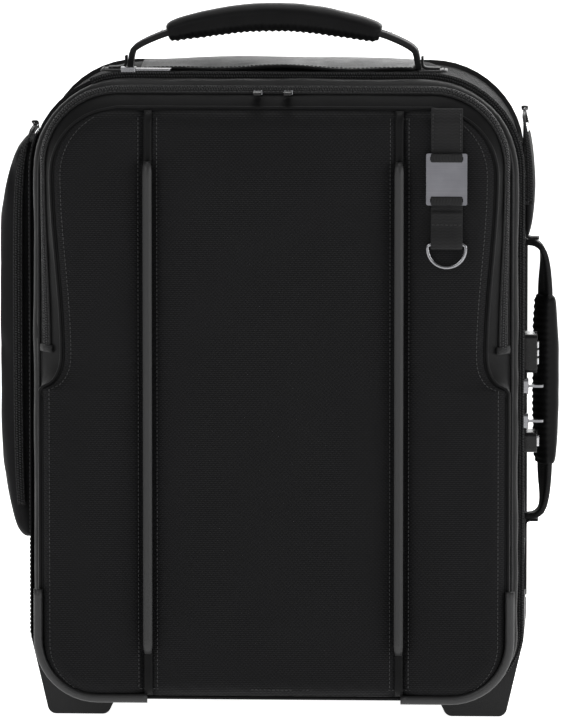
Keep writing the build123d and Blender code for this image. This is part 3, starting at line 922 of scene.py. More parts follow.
def panel_surface(u, v):
    """Height of the front panel: three swelling panels, valleys at the seams and a rolled edge."""
    shape = bpy.context.scene.backpack_shape
    crown, valley, wrinkle = shape.crown / MM, shape.valley / MM, shape.wrinkle / MM
    across = abs(u)
    depth = max(0.0, panel_depth(u, v))
    roll = 13.0
    drop = roll * (1 - math.sqrt(max(0.0, 1 - (1 - min(1.0, depth / roll)) ** 2)))
    tall = min(1.0, depth / 60) ** 0.5
    if across < BAR_X:
        swell = crown * (1 - (across / BAR_X) ** 4) * tall - crown * 0.55
    else:
        share = (across - BAR_X) / (side_half(v) - BAR_X)
        swell = crown * 0.62 * math.sin(math.pi * min(1.0, share)) ** 0.8 * tall - crown * 0.55
    from_seam = abs(across - BAR_X)
    dip = valley * math.exp(-(from_seam / 6.5) ** 2) * (1.0 if across > BAR_X else 0.5)
    dip += 2.6 * math.exp(-((across - BAR_X - 4.3) / 1.5) ** 2) * tall
    pucker = 0.28 * math.sin(v * 0.62 + 2.5 * ripple(u, 0, v, 37, 3)) * math.exp(-((from_seam - 9) / 6) ** 2)
    near_rim = math.exp(-((depth - 8) / 6) ** 2)
    rim_pucker = 0.35 * math.sin((u + v) * 0.4 + 3 * ripple(u, 0, v, 30, 7)) * near_rim
    waves = wrinkle * (ripple(u, 0, v, 85, 1) + 0.5 * ripple(u, 0, v, 33, 5)) * min(1.0, depth / 20)
    return PANEL_FACE + swell - dip - drop + pucker + rim_pucker + waves


def panel_edge(inset, step=4.0):
    """The front panel's outline as (u, v), from the bottom middle round to the right."""
    rows = [v for v in heights(PANEL, inset, step)]
    right_side = [(panel_half(v) - inset, v) for v in rows]
    left_side = [(-u, v) for u, v in reversed(right_side)]
    return [(0.0, rows[0])] + right_side + left_side + [(0.0, rows[0])]


def grip(name, path, across, wide, thick, count=30):
    """A padded sleeve: smooth outside, gathered inside, with a seam along each side and rolled ends."""
    path = [Vector(p) for p in path]
    run = lengths(path)
    sideways = Vector(across).normalized()
    rings = []
    for k, here in enumerate(path):
        before, after = path[max(0, k - 1)], path[min(len(path) - 1, k + 1)]
        along = (after - before).normalized()
        side = (sideways - along * sideways.dot(along)).normalized()
        out = along.cross(side)
        from_end = min(run[k], run[-1] - run[k])
        swell = 0.72 + 0.28 * math.sqrt(1 - (1 - min(1.0, from_end / 7)) ** 2)
        taper = 1 - 0.3 * abs(2 * run[k] / run[-1] - 1) ** 3
        ring = []
        for j in range(count):
            angle = 2 * math.pi * j / count
            c, s = math.cos(angle), math.sin(angle)
            groove = -0.9 * math.exp(-(s / 0.12) ** 2)
            wave = math.sin(2 * math.pi * run[k] / 5.2 + ripple(run[k], c * 8, 0, 20))
            gather = 0.5 * wave * max(0.0, -s) ** 0.6
            uneven = 0.35 * ripple(here.x + c * 9, here.y, here.z + s * 9, 14)
            extra = groove + gather + uneven
            wide_now = math.copysign(abs(c) ** 0.8, c) * (wide / 2 * swell + extra)
            thick_now = math.copysign(abs(s) ** 0.85, s) * (thick / 2 * swell * taper + extra)
            ring.append(here + side * wide_now + out * thick_now)
        rings.append(ring)
    return loft(name, rings, around=False)


def pivot(joint):
    """A joint's place, in millimetres."""
    found = next(j for j in frame["joints"] if j["name"] == joint)
    return Vector(found["pos_m"]) / MM


def patch(name, low, high, corner, out, place, thick=1.2):
    """A sewn-on patch with a soft edge and a row of stitches round it: (patch, stitches)."""
    centre = (low[0] + high[0]) / 2
    shape = dict(half=(high[0] - low[0]) / 2, low=low[1], high=high[1], corner=corner)
    cloth = dome(name, shape, [(0, out), (0, out + thick * 0.6), (0.6, out + thick)], place, centre, arc=4)
    inner = dict(half=shape["half"] - 2.5, low=low[1] + 2.5, high=high[1] - 2.5, corner=max(0.5, corner - 2))
    ring = [place(u, v, out + thick + 0.1) for u, v in even_outline(inner, 4, (6, 6), centre)]
    facing = Vector(place(0, 0, 1)) - Vector(place(0, 0, 0))
    return cloth, seam(name + "_stitches", ring + ring[:1], facing, 3.0, 2.2)


CASE_FIRST = -LID_BACK + 0.6         # depth at which the case's cloth starts, beside the zipper
HUB_CUT_IN = 139.8                   # the wheel wells are cut out of the case's cloth from here outward


def case_swell(point, number, offset, out):
    """The case's cloth: a little full, domed on top, and sloping down to the back."""
    if offset < 0:
        return offset, out
    u, v, nu, nv = point
    shape = bpy.context.scene.backpack_shape
    share = (CASE_FIRST - out) / (CASE_FIRST + case_high.y)
    swell = 1.5 * math.sin(math.pi * share) + 1.2 * (1 - min(1.0, share / 0.05))
    if nv > 0:
        back_slope = 3.5 * smoothstep((-out - 10) / 45) + 8.5 * smoothstep((-out - 55) / 41)
        beside_tray = 0.25 + 0.75 * smoothstep((abs(u) - 88) / 30)
        dome = math.sin(math.pi * min(1.0, share / 0.75)) * (1 - min(1.0, abs(u) / 150) ** 2.5)
        swell += (shape.dome / MM * dome - back_slope * beside_tray) * nv
        slouch = 3.0 if u < 0 else 8.0
        swell -= slouch * 2 * abs(nu * nv) * smoothstep(share / 0.3)
    wave = ripple(u, out, v, 60, 2) * 1.4 * shape.wrinkle / MM * math.sin(math.pi * share)
    return offset + swell + wave, out


def case_surface(point, out):
    return case_swell(point, 0, 0.2, out)


def gusset_offset(point, out):
    """The front pocket's wall above the fold: it slopes in from the lid to the padded panel's edge."""
    nu, nv = point[2], max(0.0, point[3])
    inset = wedge_inset(point[1]) * nu * nu + 9.5 * nv * nv + 1.5 * abs(nu * nv)
    share = min(1.0, max(0.0, (out + LID_FRONT) / (PANEL_FACE - 11.5 + LID_FRONT)))
    start = 1.5 + 5.5 * nv
    return start - (start + inset) * share ** (1.2 + 0.6 * nv)


# ------------------------------------------------------------------ operators
class BACKPACK_OT_stage(bpy.types.Operator):
    """Camera, soft lights, and the pale floor and backdrop"""
    bl_idname = "backpack.stage"
    bl_label = "Stage"

    def execute(self, context):
        scene = context.scene
        look = scene.backpack_view
        middle = Vector((0.0023, 0.0, 0.2813))
        away = Vector((math.sin(look.azimuth) * math.cos(look.elevation),
                       -math.cos(look.azimuth) * math.cos(look.elevation), math.sin(look.elevation)))
        deselect()
        bpy.ops.object.camera_add(location=middle + away * look.distance)
        camera = context.object
        camera.rotation_euler = away.to_track_quat("Z", "Y").to_euler()
        camera.data.sensor_width = 36.0
        camera.data.lens = camera.data.sensor_width * look.distance / look.seen
        scene.camera = camera
        self.backdrop()
        self.lights(middle)
        world = bpy.data.worlds.new("studio")
        world.use_nodes = True
        world.node_tree.nodes["Background"].inputs["Color"].default_value = (1.0, 1.0, 1.0, 1.0)
        world.node_tree.nodes["Background"].inputs["Strength"].default_value = 0.3
        scene.world = world
        scene.view_settings.view_transform = "Standard"
        return {"FINISHED"}

    def backdrop(self):
        """A floor that curves up into a wall, which stays beyond the camera when it looks from behind."""
        wall, bend, tall = 9.0, 0.8, 4.0
        steps = [math.radians(90 * k / 12) for k in range(13)]
        curve = [(-wall, 0.0)]
        curve += [(wall - bend + bend * math.sin(a), bend - bend * math.cos(a)) for a in steps]
        curve.append((wall, tall))
        rings = [[(x / MM, y / MM, z / MM - 0.2) for y, z in curve] for x in (-wall, wall)]
        sheet = loft("studio_floor", rings, around=False, close=False, caps=False)
        paper = Finish("paper", 0.9)
        where, _ = paper.place(False)
        paper.colour(paper.noise(where, 0.02), (0.90, 0.90, 0.90), (0.93, 0.93, 0.93))
        paper.shader.inputs["Emission Color"].default_value = (1.0, 1.0, 1.0, 1.0)
        paper.shader.inputs["Emission Strength"].default_value = 1.0
        sheet.data.materials.append(paper.material)

    def lights(self, middle):
        """A broad key from the upper left, a strip on the right and a soft light from above and behind."""
        for name, place, size, power in (("key", (-1.5, -2.0, 1.9), 1.5, 25.0),
                                         ("strip", (1.9, -0.9, 0.9), 1.1, 17.0),
                                         ("above", (0.1, 0.5, 2.2), 1.4, 15.0),
                                         ("behind", (0.5, 2.0, 1.3), 1.4, 14.0)):
            deselect()
            bpy.ops.object.light_add(type="AREA", location=place)
            lamp = bpy.context.object
            lamp.name = name
            lamp.data.size = size
            lamp.data.energy = power
            lamp.rotation_euler = (Vector(place) - middle).to_track_quat("Z", "Y").to_euler()


class BACKPACK_OT_case(bpy.types.Operator):
    """The case's nylon cover, its rear piping and the cloth hinge"""
    bl_idname = "backpack.case"
    bl_label = "Case cover"

    def execute(self, context):
        points = outline(**CASE, step=8.0)
        section = wall_section(CASE_FIRST, -case_high.y, 0.0, -3.9, 24)
        cover = band("case_cover", points, section, front, vary=case_swell)
        tray_low, tray_high = node_box("handle_tray")
        cut_away(cover, (tray_low.x - 0.5, tray_low.y - 0.5, tray_low.z),
                 (tray_high.x + 0.5, case_high.y + 9, 540))
        for side in ("left", "right"):
            hub = node_box(f"hub_{side}")
            middle = (hub[0].x + hub[1].x) / 2
            reach = sorted((math.copysign(HUB_CUT_IN, middle), math.copysign(230, middle)))
            cut_away(cover, (reach[0], 55.3, -5), (reach[1], 110, 74.3))
        dress(cover, "nylon", "case", ["case_shell"])

        def clear(p):
            at_wheel = abs(p[0]) > HUB_CUT_IN - 0.8 and p[1] < 76
            return not at_wheel and not (abs(p[0]) < 86 and p[1] > case_high.z - 4)

        runs = stretches(points, clear)
        rear = -case_high.y + 1.2
        cords = [band("piping", run, cord_section(1.9, 0.9, rear), front, closed=False, vary=case_swell)
                 for run in runs]
        dress(join("rear_piping", cords), "piping", "case")
        seams = [stitch_surface("row", run, lambda point, t: case_surface(point, rear + 6 + t), 0.0, front)
                 for run in runs]
        dress(join("rear_stitches", seams), "thread", "case")
        self.hinge(points)
        return {"FINISHED"}

    def hinge(self, points):
        """Cloth that joins the lid to the case on the left."""
        run = stretches(points, lambda p: p[0] < -151 and 60 < p[1] < 478)[0]
        cloth = band("cloth_hinge", run, wall_section(62, 42, 1.9, 1.0, 10), front, closed=False)
        dress(cloth, "side_nylon", None)
        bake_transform(cloth)
        for name, out, body in (("hinge_stitches_case", 43.4, "case"), ("hinge_stitches_lid", 60.6, "lid")):
            dress(stitch_outline(name, run, front, 2.0, out), "thread", body)


class BACKPACK_OT_main_zipper(bpy.types.Operator):
    """The main zipper round the case, and the flap over it between the handle's ends"""
    bl_idname = "backpack.main_zipper"
    bl_label = "Main zipper"

    def execute(self, context):
        run = stretches(outline(**CASE, step=6.0), lambda p: p[0] > -150)[0]
        half_zipper("main_zipper_case", run, front, self.facing, -1, 2.9, "case", ["main_zipper"])
        half_zipper("main_zipper_lid", run, front, self.facing, 1, 3.6, "lid")
        self.top_cover()
        return {"FINISHED"}

    def facing(self, point, t):
        """The zipper faces forwards, just outside the lid's walls."""
        return 0.1 - t, ZIP_DEPTH

    def top_cover(self):
        """A loose flap of cloth on top, with a free wavy edge in front."""
        over = stretches(outline(**CASE, step=5.0), lambda p: abs(p[0]) < 112 and p[1] > CASE["high"] - 2)[0]
        first, last = ZIP_DEPTH - 9, -18.0

        def loose(point, number, offset, out):
            u = point[0]
            share = (out - last) / (first - last)
            surface = case_surface(point, out)[0]
            curl = share ** 3 * (1.6 + 2.2 * math.sin(u / 21 + 1.2) * math.cos(u / 57))
            forward = share * 5.0 * math.sin(u / 33 + 0.6)
            return surface + offset + max(0.0, curl), out + forward

        section = wall_section(first, last, 1.5, 0.4, 14)
        flap = band("top_flap", over, section, front, closed=False, vary=loose)
        dress(flap, "satin", "case")
        edge = band("top_flap_binding", over, cord_section(1.3, 1.2, first), front, closed=False, vary=loose)
        dress(edge, "piping", "case")
        rows = stitch_surface("top_flap_stitches", over, lambda p, t: loose(p, 0, 1.7, first - 5 + t),
                              0.0, front)
        dress(rows, "thread", "case")


class BACKPACK_OT_lid(bpy.types.Operator):
    """The lid's satin walls, its face and its edge piping"""
    bl_idname = "backpack.lid"
    bl_label = "Lid"

    def execute(self, context):
        shape = context.scene.backpack_shape

        def skin(point, number, offset, out):
            if offset < -LID_INSET:
                return offset, out
            share = (out - first) / (-LID_FRONT - first)
            roll = 4.2 * max(0.0, share - 0.6) ** 2 / 0.4 ** 2
            swell = 0.5 * math.sin(math.pi * min(1.0, share))
            wave = ripple(point[0], out, point[1], 34, 4) * 1.2 * shape.wrinkle / MM
            return offset + swell - roll + wave, out

        first = ZIP_DEPTH + 0.8
        points = outline(**CASE, step=6.0)
        section = wall_section(first, -LID_FRONT, -LID_INSET, -LID_INSET - 3.5, 14)
        walls = band("lid_walls", points, section, front, vary=skin)
        dress(walls, "satin", "lid", ["lid_shell"])
        inset = LID_INSET + 4.4
        face = dict(half=CASE["half"] - inset, low=CASE["low"] + inset, high=CASE["high"] - inset,
                    corner=CASE["corner"] - inset, upper=CASE["upper"] - inset)
        panel = padded_face("lid_face", heights(face, 0, 12), 40, lambda v: half_width(face, v),
                            lambda u, v: -LID_FRONT + 0.1 + 0.25 * ripple(u, 0, v, 40), -LID_FRONT - 3, front)
        dress(panel, "satin", "lid")
        bead = band("lid_piping", points, cord_section(1.2, -LID_INSET - 4.6, -LID_FRONT - 0.2), front)
        dress(bead, "webbing", "lid")
        return {"FINISHED"}


class BACKPACK_OT_front_panel(bpy.types.Operator):
    """The padded front in three panels, with its seams and its edge cord"""
    bl_idname = "backpack.front_panel"
    bl_label = "Front panel"

    def execute(self, context):
        rows = heights(PANEL, 0, 3.6)
        rows = [v for v in rows if not WEDGE_LOW - 3 < v < WEDGE_FULL + 1]
        rows = sorted(rows + [WEDGE_LOW - 2 + 1.2 * k for k in range(24)])
        panel = padded_face("front_panel", rows, 150, panel_half, panel_surface, PANEL_FACE - 14.5, front)
        blend_flap(panel, "nylon", ["front_panel_lower", "front_panel_upper"])
        edge = [front(u, v, PANEL_FACE - 12.2) for u, v in panel_edge(-1.0)]
        path = [position for position, _ in resample(edge[:-1] + edge[:1], 4.0)][:-1]
        cord = sweep("panel_piping", path, oval(3.0, 3.0, 8), (0, 1, 0), closed=True)
        blend_flap(cord, "piping")
        self.stitching()
        self.seam_cords()
        return {"FINISHED"}

    def stitching(self):
        """Rows of stitches beside the long seams and round the edge."""
        rows = []
        for side in (-1, 1):
            for away in (-7.2, 7.6):
                u = side * (BAR_X + away)
                line = [front(u, v, panel_surface(u, v) + 0.1) for v in range(34, 490, 4)]
                rows.append(seam("row", line, (0, -1, 0)))
        edge = panel_edge(7.0)
        rows.append(seam("row", [front(u, v, panel_surface(u, v) + 0.1) for u, v in edge], (0, -1, 0)))
        blend_flap(join("panel_stitches", rows), "thread")

    def seam_cords(self):
        """Flat cloth binding that carries the seams on above and below the rubber bars."""
        for name, low, high, body in (("lower", PANEL_LOW + 2, BAR_LOW + 2, "lid"),
                                      ("upper", BAR_TOP - 2, PANEL_HIGH - 2, "pocket_flap")):
            cords = []
            for side in (-1, 1):
                heights_up = [low + (high - low) * k / 14 for k in range(15)]
                line = [front(side * BAR_X, v, panel_surface(BAR_X, v) + 1.0) for v in heights_up]
                cords.append(sweep("cord", line, strip(BAR_WIDTH - 0.6, 3.0), (1, 0, 0)))
            dress(join(f"seam_cords_{name}", cords), "satin", body)


class BACKPACK_OT_seam_bars(bpy.types.Operator):
    """The two rubber bars over the long seams, and the bumpers at the lower corners"""
    bl_idname = "backpack.seam_bars"
    bl_label = "Rubber trim"

    def execute(self, context):
        out = PANEL_FACE
        base, lip = out - 6.0, out + 1.2
        a = BAR_WIDTH / 2
        section = [(-a, base - out), (-a, 0.6), (-a + 0.7, 1.3), (-a + 1.5, lip - out), (a - 1.5, lip - out),
                   (a - 0.7, 1.3), (a, 0.6), (a, base - out)]
        bars = []
        for side in (-1, 1):
            count = round((BAR_TOP - BAR_LOW) / 4)
            line = [front(side * BAR_X, BAR_LOW + (BAR_TOP - BAR_LOW) * k / count, out)
                    for k in range(count + 1)]
            bars.append(sweep("bar", line, section, (1, 0, 0), scale=self.taper))
        blend_flap(join("seam_bars", bars), "rubber", ["seam_bars_lower", "seam_bars_upper"])
        self.bumpers()
        return {"FINISHED"}

    def taper(self, share):
        end = min(share, 1 - share) * (BAR_TOP - BAR_LOW)
        return (0.75 + 0.25 * min(1.0, end / 6), 0.4 + 0.6 * min(1.0, end / 5))

    def bumpers(self):
        low, high = node_box("corner_bumpers")
        points = outline(**POCKET, step=5.0)
        inner = 97.0
        near, far = -1.0, high.x - POCKET["half"] + 2.6
        crown = -low.y - 1.0
        bend = [math.radians(a) for a in range(0, 91, 18)]
        section = [(near, -high.y), (far, -high.y)]
        section += [(far - 4.5 + 4.5 * math.cos(a), crown - 4.5 + 4.5 * math.sin(a)) for a in bend]
        section += [(near + 1.5, crown - 0.4), (near, crown - 2)]
        made = [band("bumper", run, section, front, closed=False)
                for run in stretches(points, lambda p: p[1] < high.z and abs(p[0]) > inner)]
        dress(join("corner_bumper_strips", made), "rubber", "lid", ["corner_bumpers"])


class BACKPACK_OT_gusset(bpy.types.Operator):
    """The front pocket's walls, wedge gussets and zipper"""
    bl_idname = "backpack.gusset"
    bl_label = "Gusset and pocket zipper"

    def execute(self, context):
        points = outline(**POCKET, step=5.0)
        below = stretches(points, lambda p: p[1] < FOLD)[0]
        above = stretches(points, lambda p: p[1] > FOLD - 6)[0]
        first, last = -LID_FRONT + 0.3, PANEL_FACE - 11.5

        def loose(point, number, offset, out):
            share = (out - first) / (last - first)
            dent = -1.6 * math.exp(-((share - 0.55) / 0.2) ** 2) if offset > -2 else 0.0
            return offset + dent + 0.5 * ripple(point[0], out, point[1], 26, 6), out

        def wedge(point, number, offset, out):
            return gusset_offset(point, out) + offset + 0.45 * ripple(point[0], out, point[1], 20, 8), out

        section = wall_section(first, last, 0.0, -2.6, 12)
        wall = band("pocket_wall_lower", below, section, front, closed=False, vary=loose)
        dress(wall, "side_nylon", "lid")
        gusset = band("pocket_gusset", above, section, front, closed=False, vary=wedge)
        dress(gusset, "satin", None, ["pocket_zipper"])
        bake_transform(gusset)
        zip_run = stretches(outline(**POCKET, step=4.0), lambda p: p[1] > WEDGE_FULL + 3)[0]
        line = -node_box("pocket_slider_left")[1].y + 5.5

        def sloping(point, t):
            return gusset_offset(point, line + t) + 0.5, line + t

        half_zipper("pocket_zipper_lid", zip_run, front, sloping, -1, 4.2, "lid")
        half_zipper("pocket_zipper_flap", zip_run, front, sloping, 1, 4.2, "pocket_flap")
        self.tabs(sloping)
        return {"FINISHED"}

    def tabs(self, sloping):
        """A sewn tab over the lower end of the zipper in each wedge."""
        for name, side in (("left", -1), ("right", 1)):
            rings = []
            for k in range(5):
                point = (side * POCKET["half"], WEDGE_FULL + 1 + 1.5 * k, side, 0)
                lower = [on_surface(point, sloping, t, 0.6, front) for t in (-6.5, -2, 2, 6.5)]
                upper = [on_surface(point, sloping, t, 2.0 - 0.3 * abs(k - 2), front)
                         for t in (6.5, 2, -2, -6.5)]
                rings.append(lower + upper)
            dress(loft(f"wedge_tab_{name}", rings, around=False), "webbing", "lid")


class BACKPACK_OT_ring_strap(bpy.types.Operator):
    """The webbing that carries the plate and the D-ring, and the ring itself"""
    bl_idname = "backpack.ring_strap"
    bl_label = "Strap and ring"

    def execute(self, context):
        strap_low, strap_high = node_box("ring_strap")
        swing = pivot("ring_swing")
        x = (strap_low.x + strap_high.x) / 2
        wide = strap_high.x - strap_low.x
        lying = PANEL_FACE + 1.1
        turn = 2.75
        loop = [(x, swing.y - turn * math.cos(math.radians(a)), swing.z - turn * math.sin(math.radians(a)))
                for a in range(180, -1, -20)]
        down = [(x, -lying + 6.0, strap_high.z), (x, -lying - 0.1, strap_high.z - 9)]
        down += [(x, -lying, strap_high.z - 8 - k * 8) for k in range(1, 11)] + [(x, -lying, swing.z + 6)]
        up = [(x, swing.y - turn + 0.2, swing.z + 5), (x, -lying - 2.4, swing.z + 13),
              (x, -lying - 1.9, swing.z + 20), (x, -lying - 1.9, swing.z + 26)]
        line = rounded_path(down + loop + up, 2.0, 2)
        strap = sweep("ring_strap_webbing", line, strip(wide, 1.7), (1, 0, 0))
        dress(strap, "webbing", "pocket_flap", ["ring_strap"])
        rows = []
        front_face = lying + 3.0
        for z in (swing.z + 10, swing.z + 16):
            ends = [(x - wide / 2 + 2, -front_face, z), (x + wide / 2 - 2, -front_face, z)]
            rows.append(seam("row", ends, (0, -1, 0)))
        for side in (-1, 1):
            edge = x + side * (wide / 2 - 1.6)
            run = [(edge, -lying - 0.95, z) for z in range(464, 494, 3)]
            rows.append(seam("row", run, (0, -1, 0), 3.0, 2.0, 0.6))
        dress(join("ring_strap_stitches", rows), "thread", "pocket_flap")
        self.plate_wraps(x)
        self.ring(swing)
        return {"FINISHED"}

    def plate_wraps(self, x):
        """Webbing turned round the upper and the lower bar of the plate."""
        low, high = node_box("strap_plate")
        wraps = []
        for z in (low.z + 3.5, high.z - 3.5):
            wraps.append(block("wrap", (x - 12.5, low.y - 1.1, z - 3.5),
                               (x + 12.5, high.y + 0.4, z + 3.5), 1.0))
        dress(join("plate_webbing", wraps), "webbing", "plate")

    def ring(self, swing):
        """A D-ring of round wire."""
        low, high = node_box("d_ring")
        wire = 3.0
        x = (low.x + high.x) / 2
        half = (high.x - low.x) / 2 - wire / 2
        bottom = low.z + wire / 2
        sweep_down = [math.radians(a) for a in range(0, 181, 12)]
        tall = swing.z - bottom
        path = [(x + half * math.cos(a), swing.y, swing.z - 3 - (tall - 3) * math.sin(a)) for a in sweep_down]
        path += [(x - half, swing.y, swing.z - 1.2), (x - half + 1.2, swing.y, swing.z)]
        path += [(x - half + 1.2 + (half - 1.2) * 2 * k / 8, swing.y, swing.z) for k in range(1, 9)]
        path += [(x + half, swing.y, swing.z - 1.2)]
        ring = sweep("round_d_ring", path, oval(wire, wire, 12), (0, 1, 0), closed=True)
        dress(ring, "chrome", "ring", ["d_ring"])


class BACKPACK_OT_side_pockets(bpy.types.Operator):
    """The long pocket on the left and the small one on the right, with their zippers"""
    bl_idname = "backpack.side_pockets"
    bl_label = "Side pockets"

    def execute(self, context):
        for name, side, swell, top_share, top_reach, low_share, low_reach, pinch in (
                ("left", left, 3.5, 0.78, 20, 0.5, 32, 431), ("right", right, 2.0, 0.95, 26, 0.6, 18, 437)):
            low, high = node_box(f"side_pocket_{name}")
            body = f"side_cover_{name}"
            depth = high.x - low.x
            near = min(abs(low.x), abs(high.x)) + 0.1
            shape = dict(half=(high.y - low.y) / 2, low=low.z, high=high.z, corner=16.0)
            centre = (low.y + high.y) / 2

            def place(u, v, out):
                """Side of the pack, where the pocket bulges less near its top and its bottom."""
                upper = 1 - top_share * math.exp(-max(0.0, high.z - v) / top_reach)
                lower = 1 - low_share * math.exp(-max(0.0, v - low.z) / low_reach)
                return side(u, v, near + (out - near) * upper * lower)

            r = min(13.0, depth * 0.45)
            corner = [math.radians(a) for a in range(0, 91, 15)]
            profile = [(3.5, near), (3.0, near + depth * 0.1), (0.8, near + depth * 0.22),
                       (0.6, near + depth * 0.35)]
            profile += [(0.8 + r * (1 - math.cos(a)), near + depth - 1.5 - swell - r * (1 - math.sin(a)))
                        for a in corner]
            profile += [(r + 8, near + depth - 1.0 - swell), (r + 14, near + depth - 0.8 - swell)]
            cover = dome(f"side_pocket_{name}_cover", shape, profile, place, centre)
            puff(cover, 5, 4.0, swell)
            self.sag(cover, near, depth, pinch)
            dress(cover, "side_nylon", body, [f"side_pocket_{name}"])
            self.zipper(name, shape, place, body, centre, near, depth)
        return {"FINISHED"}

    def sag(self, cover, near, depth, pinch):
        """Uneven cloth, with a long pucker in the front at one height."""
        for vertex in cover.data.vertices:
            p = vertex.co / MM
            out = (abs(p.x) - near) / depth
            if out < 0.1:
                continue
            vertex.co.x += math.copysign(1.1 * ripple(p.x, p.y, p.z, 34, 9) * out, p.x) * MM
            vertex.co.y += 0.8 * ripple(p.x, p.y, p.z, 40, 11) * MM
            if p.y < 0:
                pucker = math.exp(-((out - 0.6) / 0.14) ** 2) * math.exp(-((p.z - pinch) / 17) ** 2)
                vertex.co.y += 5.0 * pucker * MM

    def zipper(self, name, shape, place, body, centre, near, depth):
        """Piping at the root, and a zipper up the front side and over the top."""
        points = outline(**shape, step=5.0, arc=8, centre=centre)
        root = band(f"side_pocket_{name}_piping", points, cord_section(1.4, 0.5, near + 1.0), place)
        dress(root, "piping", body)

        def zipped(p):
            return (p[0] < centre and p[1] > shape["low"] + 30) or p[1] > shape["high"] - 10

        run = stretches(points, zipped)[0]
        line = near + depth * 0.45

        def flank(point, t):
            return 0.3, line + t

        half_zipper(f"side_pocket_{name}_zipper", run, place, flank, 1, 4.0, body)
        half_zipper(f"side_pocket_{name}_zipper_root", run, place, flank, -1, 4.0, body)
        slider_y = centre + shape["half"] * 0.35
        high = shape["high"]
        ends = place(slider_y - 4, high + 1.0, line - 4), place(slider_y + 4, high + 4.2, line + 4)
        low_corner = [min(a, b) for a, b in zip(*ends)]
        high_corner = [max(a, b) for a, b in zip(*ends)]
        slider = block(f"side_pocket_{name}_slider", low_corner, high_corner, 1.0)
        dress(slider, "chrome", body)
        path = [place(slider_y + 3, high + 4.4, line), place(slider_y + 9, high + 4.6, line),
                place(slider_y + 16, high + 1.6, line)]
        pull = sweep(f"side_pocket_{name}_pull", rounded_path(path, 1.5), oval(5.5, 2.0, 10, 0.7), (1, 0, 0))
        dress(pull, "fine_plastic", body)


